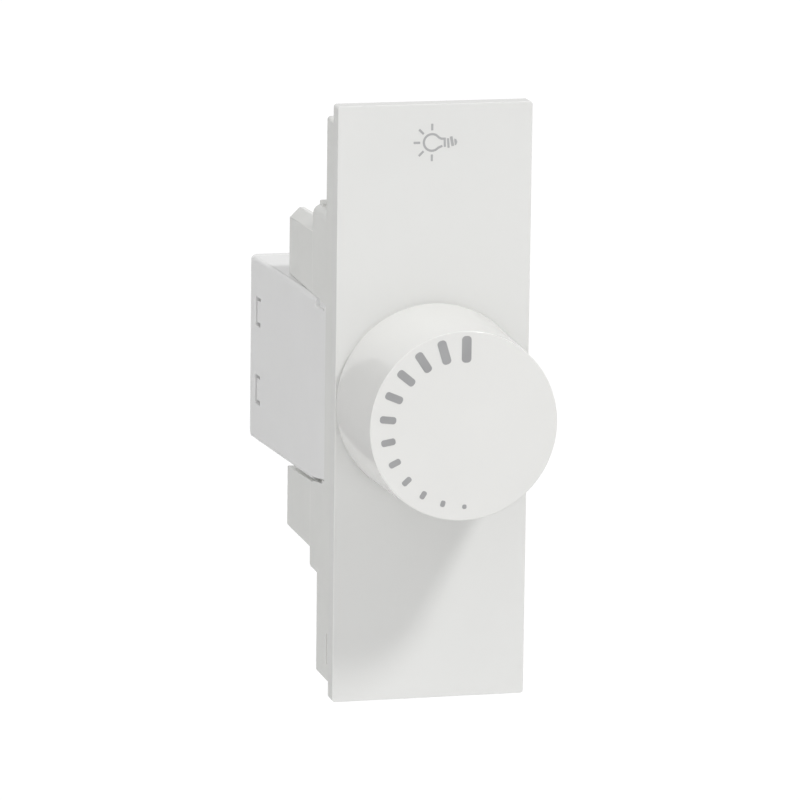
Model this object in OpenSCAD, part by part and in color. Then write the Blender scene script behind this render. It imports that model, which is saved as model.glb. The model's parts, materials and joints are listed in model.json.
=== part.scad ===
// Rotary dimmer module, one third of a square wall plate wide.
// Each piece is drawn with the plate lying face up: x to the right, y up the plate and z out of its
// front. stand() then turns it upright, so that the plate faces -Y and +Z is up.
// The origin is the centre of the back of the cover plate. Depths are measured behind that plane.

/* [Cover plate] */
// Width of the cover plate
plate_w = 22.2; // [20:0.1:27]
// Height of the cover plate
plate_h = 67.7; // [66:0.1:82]
// Thickness of the cover plate
plate_t = 2.2; // [1.8:0.1:3]
// Radius of the plate's four corners
plate_corner = 0.6; // [0.2:0.1:1.2]
// Bevel round the plate's front edge
plate_bevel = 0.4; // [0.1:0.1:0.8]
// Width of the hooks that hold the plate
hook_w = 8; // [4:0.5:12]
// Thickness of those hooks
hook_t = 1.2; // [0.8:0.1:1.6]
// Depth of the coloured marks and lines in the plate and the knob
mark_depth = 0.2; // [0.1:0.05:0.4]

/* [Lamp symbol] */
// How far the symbol's bulb lies left of the plate's centre line
lamp_left = 0.35; // [0:0.05:1]
// Distance of the bulb's centre from the plate's top edge
lamp_drop = 4.25; // [3.5:0.05:6]
// Radius of the bulb
bulb_r = 0.9; // [0.7:0.05:1.2]
// Width of the symbol's lines
line_w = 0.25; // [0.15:0.05:0.35]

/* [Knob] */
// Height of the knob's axis above the plate's centre
axis_y = 0.4; // [0:0.1:1.2]
// Radius of the knob's face
knob_r = 10.6; // [8:0.1:13]
// How much wider the knob is at its base
knob_draft = 0.5; // [0:0.05:0.8]
// How far the knob's face stands in front of the plate
knob_reach = 14.1; // [12:0.1:18]
// Gap between the knob and the plate
knob_gap = 0.6; // [0.5:0.1:1.4]
// Travel of the knob when it is pressed
press_travel = 0.4; // [0.3:0.05:0.45]
// Wall thickness of the knob
knob_wall = 1.5; // [1:0.1:2]
// Thickness of the knob's face
knob_roof = 1.8; // [1.2:0.1:2.4]
// Radius of the round edge of the knob's face
knob_edge = 0.4; // [0.1:0.05:0.8]
// Wall thickness of the hub inside the knob
hub_wall = 1.8; // [1.2:0.1:2.4]
// Number of scale marks round the left half of the knob's face
mark_count = 12; // [6:1:16]
// Length of the largest mark
mark_long = 2.8; // [2:0.1:3.4]
// Length of the smallest mark
mark_short = 0.55; // [0.4:0.05:1]
// Width of the largest mark
mark_wide = 1.08; // [0.8:0.02:1.3]
// Width of the smallest mark
mark_narrow = 0.52; // [0.3:0.02:0.7]
// Distance of the marks' outer ends from the knob's rim
mark_margin = 0.98; // [0.6:0.02:1.6]

/* [Shaft and potentiometer] */
// Radius of the control shaft
shaft_r = 3; // [2.4:0.1:3.6]
// Distance from the shaft's axis to its flat
shaft_flat = 1.5; // [1.2:0.1:2]
// Wall thickness of the threaded bushing
bushing_wall = 0.95; // [0.7:0.05:1.3]
// Outer radius of the potentiometer's case
pot_r = 8.2; // [6.9:0.1:8.6]
// Depth of the potentiometer's case
pot_d = 6.6; // [6.2:0.1:7.6]
// Wall thickness of the case
pot_wall = 0.8; // [0.5:0.05:1]
// Width of the push switch's square case
switch_w = 12; // [11:0.1:12.4]
// Wall thickness of the push switch
switch_wall = 1; // [0.7:0.05:1.2]
// Turns of the return spring
spring_turns = 4; // [3:1:5]
// Wire diameter of the return spring
spring_wire = 0.45; // [0.3:0.05:0.5]

/* [Carrier frame] */
// How far the carrier's sides lie inside the plate's sides
side_inset = 0.15; // [0:0.05:0.4]
// How far the carrier's top lies inside the plate's top edge
top_inset = 1.95; // [1:0.05:3]
// How far the carrier's bottom lies inside the plate's bottom edge
bottom_inset = 1.45; // [1:0.05:3]
// Depth of the upper flange
upper_d = 3.5; // [3:0.1:4.5]
// Depth of the lower flange
lower_d = 6.4; // [4.5:0.1:7.7]
// How far the shoulders and the terminal block sit below the plate's centre
body_drop = 0.35; // [0:0.05:0.6]
// How far the shoulders stand above and below the terminal block
shoulder_step = 2.75; // [2:0.05:4]
// Depth of the shoulders
shoulder_d = 10; // [9:0.1:10.6]
// Wall thickness of the carrier
frame_wall = 1.5; // [1.1:0.1:2]
// Thickness of the bridge that holds the potentiometer
bridge_t = 2; // [1.5:0.1:2.4]
// Depth of the bridge's front face
bridge_d = 3.3; // [3.1:0.1:4]

/* [Terminal block] */
// Depth of the terminal block's rear face
block_d = 21.4; // [21:0.1:25]
// Width of the cheeks along the block's sides
cheek_w = 1.75; // [1.3:0.05:2.2]
// Bevel along the upper cheeks
cheek_bevel = 1.15; // [0.4:0.05:1.2]
// Height of the cheeks above the wire entries
cheek_rise = 0.9; // [0.4:0.1:1.2]
// Distance of each terminal from the centre line
terminal_x = 4.9; // [4.7:0.05:5.2]
// Thickness of the wall between the housing's core and the upper terminals
terminal_wall = 1.4; // [1:0.1:2]
// Thickness of the wall that each wire entry goes through
entry_wall = 0.9; // [0.7:0.1:1.6]
// Width of a terminal cage
cage_w = 5.4; // [4.8:0.1:5.4]
// Length of a cage along its wire
cage_l = 4.6; // [4:0.1:4.7]
// Travel of a cage between open and shut
cage_travel = 2; // [1.5:0.25:2]
// Height of the window that the wire goes through
window_h = 3.2; // [3.1:0.05:3.3]
// Radius of the terminal screws
screw_r = 1.5; // [1.2:0.05:1.6]
// Radius of a wire entry
wire_r = 1.4; // [1:0.05:1.6]

/* [Rear housing] */
// Depth of the whole module behind the plate
body_d = 33.4; // [33:0.1:42]
// Height of the rear housing
housing_h = 21.7; // [21:0.1:26]
// Height of the rear housing's middle above the plate's centre
housing_y = 0.15; // [-0.1:0.05:0.3]
// Angle at which the side walls flare towards the rear
flare = 4.26; // [2:0.02:5]
// Depth at which the side walls are level with the plate's sides
flush_d = 7.5; // [6:0.1:10]
// Depth of the front ends of the side arms
arm_d = 3.5; // [3:0.1:5]
// Depth of the recesses that the side arms lie in
arm_recess = 0.9; // [0.6:0.05:1]
// Wall thickness of the housing
housing_wall = 1.5; // [1.2:0.1:1.8]
// Thickness of the rear cover
rear_t = 1.3; // [1:0.1:2]
// Rounding of the rear cover's upright edges
rear_round = 1.2; // [0.4:0.1:1.2]
// Height of each snap window
snap_h = 3.4; // [2.6:0.1:4]
// Distance between the middles of the two snap windows
snap_pitch = 9.2; // [7:0.1:10]

/* [Power stage] */
// Thickness of the circuit board
board_t = 1.6; // [1:0.1:2]
// Thickness of the heat sink's sheet
sink_t = 1.2; // [0.8:0.1:1.6]
// Thickness of the power transistor
transistor_t = 4.4; // [4:0.1:4.6]
// Ring radius of the choke core
choke_ring_r = 3.3; // [3.2:0.05:3.5]
// Section radius of the choke core
choke_core_r = 1.4; // [1.2:0.05:1.4]
// Wire diameter of the choke winding
choke_wire = 0.5; // [0.4:0.05:0.5]
// Turns of the choke winding
choke_turns = 9; // [6:1:9]

/* [Clearances] */
// Running clearance of shafts and screws in their holes
run_gap = 0.05; // [0.03:0.01:0.1]
// Clearance between pieces that fit together
fit_gap = 0.1; // [0.05:0.01:0.15]
// Clearance of pieces that slide
slide_gap = 0.15; // [0.1:0.01:0.2]

/* [Hidden] */
$fn = 64;
// How far a cutting shape runs past the face that it opens
past = 1;
// How far a rib, a leg or a pin runs into the rest of its own piece
bite = 0.4;

// Heights from the inside out: the housing's core, the terminals, the terminal block, the shoulders
core_lip = 1;
core_h = housing_h - 2 * core_lip;
cage_reach = cage_l / 2 + slide_gap;
terminal_y = core_h / 2 + housing_y + body_drop + terminal_wall + cage_reach;
block_h = 2 * (terminal_y + cage_reach + entry_wall + cheek_rise);
shoulder_h = block_h + 2 * shoulder_step;

// Front to back stations of the knob and the shaft
knob_base_z = plate_t + knob_gap;
knob_face_z = plate_t + knob_reach;
hub_recess = 0.5;
hub_base_z = knob_base_z + hub_recess;
hub_r = shaft_r + run_gap + hub_wall;
bore_roof = 1.2;
bore_end_z = knob_face_z - knob_roof - bore_roof;
shaft_tip_z = bore_end_z - 2 * fit_gap;
shaft_room = 1;
ring_t = 0.4;
ring_h = 3;
ring_lift = 0.5;
ring_slot = 2;
rib_z = hub_base_z + ring_h + 2 * ring_lift;
rib_t = 1;
rib_count = 6;

// Carrier frame
carrier_w = plate_w - 2 * side_inset;
carrier_top = plate_h / 2 - top_inset;
carrier_bottom = plate_h / 2 - bottom_inset;
pot_room = 0.3;
core_w = 2 * (pot_r + pot_room);
pocket_w = carrier_w - 2 * frame_wall;
shoulder_round = 0.8;
floor_t = 1.3;
rib_w = 1.2;
bridge_back = bridge_d + bridge_t;
pocket_lip = 0.9;
rear_pocket_h = block_h - 2 * pocket_lip;
latch_rise = 0.6;
latch_l = 1.6;
latch_back = 0.6;
latch_inset = 1;
barb = 0.5;
barb_h = 0.9;
pry_l = 3.6;
pry_t = 0.5;
pry_in = 1;
pry_lift = 0.6;

// Potentiometer and push switch, from the bridge back to the circuit board
bushing_r = shaft_r + run_gap + bushing_wall;
bushing_proud = 0.3;
washer_w = 2;
washer_t = 0.5;
washer_teeth = 10;
tooth_l = 0.8;
tooth_gap = 1;
nut_t = 2;
nut_rim = 2;
nut_flats = 2 * (bushing_r + nut_rim);
flange_inset = 1;
flange_r = pot_r - pot_wall - flange_inset;
collar_d = bridge_back + pot_wall + run_gap;
collar_t = 0.75;
collar_rim = 1.2;
rotor_d = collar_d + collar_t + press_travel + fit_gap;
rotor_t = 1.8;
rotor_r = pot_r - pot_wall - fit_gap;
contact_t = 0.2;
fingers = [80, 100];
finger_w = 1;
wiper_ring_w = 1.3;
dimple_r = 0.35;
track_t = 0.1;
pot_back = bridge_back + pot_d;
wafer_t = 1.4;
track_d = pot_back - wafer_t - track_t;
track_rim = 1.2;
track_w = 1.8;
track_out = pot_r - pot_wall - track_rim;
track_in = track_out - track_w;
track_gap = 3;
drive_r = 2.3;
drive_flat = 3.6;
drive_room = 0.4;
drive_reach = 1.5;
drive_end = pot_back + drive_reach;
board_d = block_d;
board_back = board_d + board_t;
plunger_d = drive_end + run_gap;
plunger_t = 1.75;
plunger_back = plunger_d + plunger_t;
boss_r = 1.4;
boss_l = 1.2;
switch_floor = board_d - switch_wall;
spring_room = 0.35;
spring_r = boss_r + spring_room + spring_wire / 2;
switch_contact_x = 3.2;
switch_contact_rise = 3.6;
switch_contact_y = axis_y + switch_contact_rise;
tip_r = 0.6;
tip_l = 0.4;
bar_thin_w = 1.6;
bar_thin = 0.3;
fixed_d = plunger_back + bar_thin + tip_l + press_travel + run_gap;
pin_r = 0.4;
tail_proud = 0.6;
tail_end = board_back + tail_proud;
pot_pin_pitch = 2;
pot_pin_t = 0.4;
pot_pin_room = 0.55;
pot_pin_y = axis_y - switch_w / 2 - pot_pin_room;

// Terminals: each is drawn as the upper right one and mirrored into place
terminals = [[-1, 1], [1, 1], [-1, -1], [1, -1]];
cover_t = 2.8;
cover_rim = 0.7;
cover_w = 2 * terminal_x + cage_w + 2 * cover_rim;
cover_lap = 0.3;
cover_h = cage_l + 2 * cover_lap;
ledge_t = 1;
cage_rear_wall = 1.2;
cage_front_wall = 0.8;
cage_side_wall = 1;
window_w = cage_w - 2 * cage_side_wall;
cage_rear = block_d - cover_t - fit_gap - cage_travel;
cage_front = cage_rear - cage_rear_wall - window_h - cage_front_wall;
bar_t = 0.8;
bar_room = 0.2;
bar_w = window_w - 2 * bar_room;
bar_short = 0.3;
bar_rear = cage_rear - cage_rear_wall - fit_gap;
leg_room = 0.3;
leg_y = axis_y + body_drop + switch_w / 2 + leg_room;
tail_w = 0.7;
wire_d = (bar_rear - bar_t + cage_front + cage_front_wall) / 2;
screw_tip = bar_rear + 2 * fit_gap;
head_rim = 0.8;
head_r = screw_r + head_rim;
head_rear = block_d - 2 * fit_gap;
head_t = 1.6;
post_r = 2.6;
carrier_screw_r = 1.2;
carrier_screw_end = 14;
carrier_head_r = 2.2;
blind_room = 0.4;
cover_screw_r = 1;
cover_screw_l = 2.4;
cover_screw_end = block_d - cover_t - cover_screw_l;
small_head_r = 1.8;
small_head_t = 1.3;
slot_w = 0.5;
slot_t = 0.7;

// Rear housing and what it holds
housing_back = body_d - rear_t;
housing_floor = 1.6;
inner_h = housing_h - 2 * housing_floor;
recess_x = carrier_w / 2 - arm_recess;
arm_foot_l = 4.1;
arm_foot_rise = 0.9;
snap_l = 2;
snap_back = 1.5;
snap_rear = housing_back - snap_back;
snap_slack = 0.4;
tab_l = 3.7;
tab_t = 1.2;
tab_h = 15;
shelf_h = 6;
shelf_l = 2;
shelf_in = 0.8;
board_w = 2 * (half_w(board_d) - housing_wall - 2 * fit_gap);
board_h = inner_h - 4 * fit_gap;
sink_top = housing_y + inner_h / 2 - 2 * fit_gap;
sink_inset = 1.3;
sink_w = board_w - 2 * sink_inset;
sink_leg = 2.4;
stage_room = 0.6;
stage_end = housing_back - stage_room;
transistor_w = 10;
lead_l = 1.6;
transistor_front = board_back + lead_l;
lead_pitch = 2.54;
lead_y = sink_top - sink_t - transistor_t / 2;
sink_screw_r = 1.2;
sink_screw_back = 2.6;
sink_screw_d = stage_end - sink_screw_back;
sink_head_r = 2.1;
sink_head_t = 1.4;
lift = 0.8;
choke_wind_r = choke_core_r + choke_wire / 2 + fit_gap;
choke_out_r = choke_ring_r + choke_wind_r + choke_wire / 2;
choke_room = [0.45, 0.2];
choke_x = -board_w / 2 + choke_out_r + choke_room[0];
choke_y = housing_y - board_h / 2 + choke_out_r + choke_room[1];
choke_d = board_back + lift + choke_wind_r + choke_wire / 2;
choke_start = 100;
choke_span = 320;
cap_w = 6.6;
cap_h = 4.6;
cap_room = [0.9, 0.3];
cap_lead_in = 1;
cap_x = board_w / 2 - cap_w / 2 - cap_room[0];
cap_y = housing_y - board_h / 2 + cap_h / 2 + cap_room[1];
fuse_r = 1;
fuse_l = 6;
fuse_left = 1.4;
fuse_rise = 0.7;
fuse_x = cap_x - fuse_left;
fuse_y = housing_y + fuse_rise;
lead_r = 0.3;
hole_r = 0.6;
chip = [1, 1.8, 0.6];
chip_pitch = 1.6;
chip_count = 4;
chip_drop = 2.4;
chip_y = fuse_y - chip_drop;

// Half the housing's outer width at a depth d behind the plate
function half_w(d) = plate_w / 2 + (d - flush_d) * tan(flare);
// Value of a mark, which falls evenly from a first to a last one
function graded(first, last, i) = first + (last - first) * i / (mark_count - 1);
function unit(v) = v / norm(v);
// Direction of a path at its point i
function along(path, i) = unit(path[min(i + 1, len(path) - 1)] - path[max(i - 1, 0)]);
// Least gap between stretches of one tube that are skip points or more apart
function least_gap(path, r, skip) = min([
  for (i = [0:len(path) - 1 - skip]) for (j = [i + skip:len(path) - 1]) norm(path[i] - path[j])
]) - 2 * r;

// Helix of the return spring, drawn back from the plunger
spring_steps = 8;
spring_n = spring_turns * spring_steps;
spring_z = [plunger_back + spring_wire / 2, switch_floor - spring_wire / 2];
spring_out = [for (i = [0:spring_n]) let (a = 360 * i / spring_steps) [cos(a), sin(a), 0]];
spring_path = [for (i = [0:spring_n]) spring_r * spring_out[i]
  + [0, axis_y, -spring_z[0] - (spring_z[1] - spring_z[0]) * i / spring_n]];

// Winding round the choke core: it comes off the board outside the ring and ends inside it
wind_steps = 12;
wind_n = wind_steps * choke_turns + wind_steps / 2;
function wind_ring(i) = choke_start + choke_span * i / wind_n;
function wind_out(i) = let (a = -360 * i / wind_steps, b = wind_ring(i))
  [cos(a) * cos(b), cos(a) * sin(b), sin(a)];
function wind_at(i) = [choke_x, choke_y, -choke_d] + choke_wind_r * wind_out(i)
  + choke_ring_r * [cos(wind_ring(i)), sin(wind_ring(i)), 0];
function on_board(p) = [p[0], p[1], -board_d - fit_gap];
wind_turns = [for (i = [0:wind_n]) wind_at(i)];
wind_path = concat([on_board(wind_at(0))], wind_turns, [on_board(wind_at(wind_n))]);
wind_normals = concat([wind_out(0)], [for (i = [0:wind_n]) wind_out(i)], [wind_out(wind_n)]);
echo(str("return spring, least gap to itself ",
  least_gap(spring_path, spring_wire / 2, spring_steps / 2)));
echo(str("choke winding, least gap to itself ",
  least_gap(wind_turns, choke_wire / 2, wind_steps / 2)));

// Places where leads pass through the circuit board
board_holes = concat(
  [for (i = [-1:1]) [i * pot_pin_pitch, pot_pin_y]],
  [for (s = [-1, 1]) [s * switch_contact_x, switch_contact_y]],
  [for (t = terminals) [t[0] * terminal_x, t[1] * (leg_y + tail_w / 2) - body_drop]],
  [for (i = [-1:1]) [i * lead_pitch, lead_y]],
  [for (p = [wind_at(0), wind_at(wind_n)]) [p[0], p[1]]],
  [for (s = [-1, 1]) [cap_x + s * (cap_w / 2 - cap_lead_in), cap_y]],
  [for (s = [-1, 1]) [fuse_x + s * (fuse_l / 2 + lift), fuse_y]]
);

// Shapes that several pieces use
module stand() { rotate([90, 0, 0]) children(); }
module on_axis() { translate([0, axis_y, 0]) children(); }
module on_body() { translate([0, -body_drop, 0]) children(); }
module on_housing() { translate([0, housing_y, 0]) children(); }
// Block between two depths, centred on x
module block(w, y0, y1, d0, d1) { translate([-w / 2, y0, -d1]) cube([w, y1 - y0, d1 - d0]); }
// Block from x0 to x1 between two depths
module slab(x0, x1, y0, y1, d0, d1) { translate([x0, y0, -d1]) cube([x1 - x0, y1 - y0, d1 - d0]); }
// Rod between two depths
module rod(r, d0, d1) { translate([0, 0, -d1]) cylinder(r = r, h = d1 - d0); }
module both_sides() {
  children();
  mirror([1, 0, 0]) children();
}
// Upper half of the body, side 1, or the lower half, side -1
module body_half(side) { on_body() mirror([0, side < 0 ? 1 : 0, 0]) children(); }
module at_terminal(i) {
  body_half(terminals[i][1]) translate([terminals[i][0] * terminal_x, 0, 0]) children();
}
module upper_and_lower() { for (side = [1, -1]) body_half(side) children(); }
module round_rect(w, h, r) {
  square([w - 2 * r, h], center = true);
  square([w, h - 2 * r], center = true);
  for (x = [-1, 1], y = [-1, 1]) translate([x * (w / 2 - r), y * (h / 2 - r)]) circle(r);
}
// Outline in x and z, drawn out along y
module drawn_along_y(y0, y1) {
  translate([0, y1, 0]) rotate([90, 0, 0]) linear_extrude(y1 - y0) children();
}
// Outline in y and z, drawn out along x
module drawn_along_x(x0, x1) {
  translate([x0, 0, 0]) rotate([90, 0, 90]) linear_extrude(x1 - x0) children();
}
module bevelled(w, t, b) {
  polygon([[-w / 2, 0], [w / 2, 0], [w / 2, t - b], [w / 2 - b, t], [b - w / 2, t], [-w / 2, t - b]]);
}
// Cross slot in a screw head, whose face lies at the origin and points to +z
module cross_slot(r) {
  reach = 0.75 * r;
  for (a = [0, 90]) rotate([0, 0, a])
    translate([-reach, -slot_w / 2, -slot_t]) cube([2 * reach, slot_w, slot_t + past]);
}
// Tube of radius r swept along a path, with sides flat faces; normals point out of its bends
module tube(path, normals, r, sides) {
  n = len(path);
  points = [for (i = [0:n - 1])
    let (t = along(path, i), u = unit(normals[i] - t * (t * normals[i])), v = cross(t, u))
    for (k = [0:sides - 1]) path[i] + r * (cos(360 * k / sides) * u + sin(360 * k / sides) * v)];
  walls = [for (i = [0:n - 2], k = [0:sides - 1])
    let (a = i * sides + k, b = i * sides + (k + 1) % sides)
    each [[a, a + sides, b + sides], [a, b + sides, b]]];
  last = (n - 1) * sides;
  ends = [for (k = [1:sides - 2]) each [[0, k, k + 1], [last, last + k + 1, last + k]]];
  polyhedron(points, concat(walls, ends));
}

// Cover plate. The lamp symbol's proportions are in bulb radii.
module lamp_lines() {
  translate([-lamp_left, plate_h / 2 - lamp_drop]) {
    difference() {
      circle(bulb_r + line_w / 2);
      circle(bulb_r - line_w / 2);
      translate([0, -bulb_r / 2]) square([2 * bulb_r, bulb_r]);
    }
    for (s = [-1, 1]) translate([0.78 * bulb_r, s * bulb_r / 2 - line_w / 2])
      square([0.9 * bulb_r, line_w]);
    for (x = [1.55, 1.95]) translate([x * bulb_r, -0.62 * bulb_r]) square([line_w, 1.24 * bulb_r]);
    polygon([[2.4, 0.6], [2.85, 0.3], [3.05, 0], [2.85, -0.3], [2.4, -0.6]] * bulb_r);
    for (a = [90:45:270]) rotate(a) translate([1.48 * bulb_r, -line_w / 2])
      square([0.78 * bulb_r, line_w]);
  }
}
module plate_hook(end_y) {
  outer = end_y - fit_gap;
  front = pry_t + fit_gap;
  block(hook_w, outer - hook_t, outer, 0, front + barb_h);
  block(hook_w, outer - hook_t, outer + barb, front, front + barb_h);
}
module cover_plate() {
  color("white") stand() difference() {
    union() {
      intersection() {
        linear_extrude(plate_t) round_rect(plate_w, plate_h, plate_corner);
        drawn_along_y(-plate_h / 2, plate_h / 2) bevelled(plate_w, plate_t, plate_bevel);
        drawn_along_x(-plate_w / 2, plate_w / 2) bevelled(plate_h, plate_t, plate_bevel);
      }
      plate_hook(carrier_top - frame_wall);
      mirror([0, 1, 0]) plate_hook(carrier_bottom - frame_wall);
    }
    on_axis() rod(shaft_r + shaft_room, -plate_t - past, past);
    translate([0, 0, plate_t - mark_depth]) linear_extrude(mark_depth + past) lamp_lines();
  }
}
module lamp_symbol() {
  color("silver") stand() translate([0, 0, plate_t - mark_depth])
    linear_extrude(mark_depth) lamp_lines();
}

// Carrier frame
module arm_pocket(d0, d1, rise) {
  reach = housing_h / 2 + rise;
  on_housing() both_sides() slab(recess_x, plate_w, -reach, reach, d0, d1);
}
module latch_ridge() {
  top = shoulder_h / 2;
  rear = shoulder_d - latch_back;
  block(carrier_w - 2 * latch_inset, top - bite, top + latch_rise, rear - latch_l, rear);
}
module hook_notch(end_y, depth) {
  block(hook_w + 2 * slide_gap, end_y - past, end_y + barb, pry_t, depth);
}
module carrier_frame() {
  top = carrier_top;
  low = -carrier_bottom;
  color("whitesmoke") stand() difference() {
    union() {
      block(carrier_w, 0, top, 0, upper_d);
      block(carrier_w, low, 0, 0, lower_d);
      on_body() translate([0, 0, -shoulder_d]) linear_extrude(shoulder_d)
        round_rect(carrier_w, shoulder_h, shoulder_round);
      body_half(1) latch_ridge();
    }
    block(pocket_w, shoulder_h / 2 + rib_w / 2, top - frame_wall, -past, upper_d - floor_t);
    block(pocket_w, low + frame_wall, -shoulder_h / 2 - rib_w / 2, -past, lower_d - floor_t);
    block(core_w, rib_w / 2 - shoulder_h / 2, shoulder_h / 2 - rib_w / 2, -past, bridge_d);
    on_body() block(core_w, -rear_pocket_h / 2, rear_pocket_h / 2, bridge_back, shoulder_d + past);
    on_axis() rod(bushing_r + fit_gap, 0, bridge_back + past);
    upper_and_lower() translate([0, terminal_y, 0])
      rod(carrier_screw_r + slide_gap, 0, bridge_back + past);
    arm_pocket(arm_d - fit_gap, shoulder_d + past, fit_gap);
    arm_pocket(arm_d - fit_gap, arm_d + arm_foot_l, arm_foot_rise);
    hook_notch(top - frame_wall, upper_d - floor_t);
    mirror([0, 1, 0]) hook_notch(carrier_bottom - frame_wall, upper_d - floor_t);
    translate([0, low + pry_lift, 0]) both_sides()
      slab(carrier_w / 2 - pry_in, plate_w, 0, pry_l, -past, pry_t);
  }
}
module carrier_screws() {
  color("silver") stand() upper_and_lower() translate([0, terminal_y, 0]) difference() {
    union() {
      rod(carrier_head_r, bridge_d - small_head_t, bridge_d);
      rod(carrier_screw_r, bridge_d - bite, carrier_screw_end);
    }
    translate([0, 0, small_head_t - bridge_d]) cross_slot(small_head_r);
  }
}

// Knob
module mark(i, h) {
  long = graded(mark_long, mark_short, i);
  wide = graded(mark_wide, mark_narrow, i);
  out = knob_r - mark_margin - wide / 2;
  function inner(a) = a > 90 && a < 270;
  ends = [for (a = [0:20:340])
    [out - (inner(a) ? long - wide : 0), 0] + wide / 2 * [cos(a), sin(a)]];
  rotate([0, 0, 90 + 180 * i / (mark_count - 1)]) linear_extrude(h) polygon(ends);
}
module all_marks(h) {
  on_axis() translate([0, 0, knob_face_z - mark_depth])
    for (i = [0:mark_count - 1]) mark(i, h);
}
module d_section(r, flat) {
  difference() {
    circle(r);
    translate([-r, -r - flat]) square([2 * r, r]);
  }
}
module knob() {
  roof_z = knob_face_z - knob_roof;
  inner_r = knob_r - knob_wall;
  edge = [for (a = [0:15:90])
    [knob_r - knob_edge * (1 - cos(a)), knob_face_z - knob_edge * (1 - sin(a))]];
  skirt = [[hub_r, roof_z], [inner_r, roof_z], [inner_r + knob_draft, knob_base_z],
    [knob_r + knob_draft, knob_base_z]];
  hub = [[0, knob_face_z], [0, hub_base_z], [hub_r, hub_base_z]];
  color("white") stand() difference() {
    on_axis() {
      rotate_extrude() polygon(concat(skirt, edge, hub));
      for (i = [0:rib_count - 1]) rotate([0, 0, (i + 0.5) * 360 / rib_count])
        slab(hub_r - bite, inner_r + bite, -rib_t / 2, rib_t / 2, -roof_z - bite, -rib_z);
    }
    on_axis() translate([0, 0, hub_base_z - past]) linear_extrude(bore_end_z - hub_base_z + past)
      d_section(shaft_r + run_gap, shaft_flat + run_gap);
    all_marks(mark_depth + past);
  }
}
module knob_scale() { color("silver") stand() all_marks(mark_depth); }
module hub_ring() {
  color("gainsboro") stand() on_axis() translate([0, 0, hub_base_z + ring_lift]) difference() {
    cylinder(r = hub_r + run_gap + ring_t, h = ring_h);
    translate([0, 0, -past]) cylinder(r = hub_r + run_gap, h = ring_h + 2 * past);
    translate([0, -ring_slot / 2, -past]) cube([2 * hub_r, ring_slot, ring_h + 2 * past]);
  }
}
module control_shaft() {
  color("silver") stand() on_axis() {
    translate([0, 0, hub_base_z]) linear_extrude(shaft_tip_z - hub_base_z)
      d_section(shaft_r, shaft_flat);
    rod(shaft_r, -hub_base_z, collar_d + collar_t / 2);
    rod(shaft_r + collar_rim, collar_d, collar_d + collar_t);
    intersection() {
      rod(drive_r, collar_d + collar_t / 2, drive_end);
      block(drive_flat, -drive_r, drive_r, collar_d, drive_end);
    }
  }
}

// Potentiometer
module pot_bushing() {
  color("silver") stand() on_axis() difference() {
    union() {
      rod(bushing_r, bridge_d - washer_t - nut_t - bushing_proud, bridge_back + pot_wall);
      rod(flange_r, bridge_back, bridge_back + pot_wall);
    }
    rod(shaft_r + run_gap, -past, pot_back);
  }
}
module lock_washer() {
  color("gainsboro") stand() on_axis() difference() {
    rod(bushing_r + washer_w, bridge_d - washer_t, bridge_d);
    rod(bushing_r + slide_gap, 0, pot_back);
    for (i = [0:washer_teeth - 1]) rotate([0, 0, i * 360 / washer_teeth])
      slab(bushing_r + washer_w - tooth_l, pot_r, -tooth_gap / 2, tooth_gap / 2, 0, pot_back);
  }
}
module bushing_nut() {
  color("silver") stand() on_axis() difference() {
    translate([0, 0, washer_t - bridge_d]) cylinder(d = nut_flats / cos(30), h = nut_t, $fn = 6);
    rod(bushing_r + run_gap, -past, pot_back);
  }
}
module pot_case() {
  color("lightsteelblue") stand() on_axis() difference() {
    rod(pot_r, bridge_back, pot_back);
    rod(pot_r - pot_wall, bridge_back + pot_wall, pot_back + past);
    rod(flange_r + run_gap, 0, pot_back);
  }
}
module wiper_rotor() {
  color("ivory") stand() on_axis() difference() {
    rod(rotor_r, rotor_d, rotor_d + rotor_t);
    intersection() {
      rod(drive_r + run_gap, 0, pot_back);
      block(drive_flat + 2 * run_gap, -pot_r, pot_r, 0, pot_back);
    }
  }
}
module wiper_contact() {
  hole = drive_r + drive_room;
  mid = (track_in + track_out) / 2;
  back = rotor_d + rotor_t;
  color("goldenrod") stand() on_axis() {
    difference() {
      union() {
        rod(hole + wiper_ring_w, back, back + contact_t);
        for (a = fingers) rotate([0, 0, a])
          slab(hole, mid + finger_w / 2, -finger_w / 2, finger_w / 2, back, back + contact_t);
      }
      rod(hole, 0, pot_back);
    }
    for (a = fingers) rotate([0, 0, a]) translate([mid, 0, 0]) rod(dimple_r, back, track_d - run_gap);
  }
}
module carbon_track() {
  color("dimgray") stand() on_axis() difference() {
    rod(track_out, track_d, track_d + track_t);
    rod(track_in, 0, pot_back);
    block(track_gap, -pot_r, 0, 0, pot_back);
  }
}
module track_wafer() {
  color("peru") stand() on_axis() difference() {
    rod(rotor_r, track_d + track_t, pot_back);
    rod(drive_r + drive_room, 0, pot_back + past);
  }
}
module pot_pins() {
  color("silver") stand() for (i = [-1:1]) translate([i * pot_pin_pitch, pot_pin_y, 0])
    block(tail_w, -pot_pin_t / 2, pot_pin_t / 2, pot_back, tail_end);
}

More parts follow.
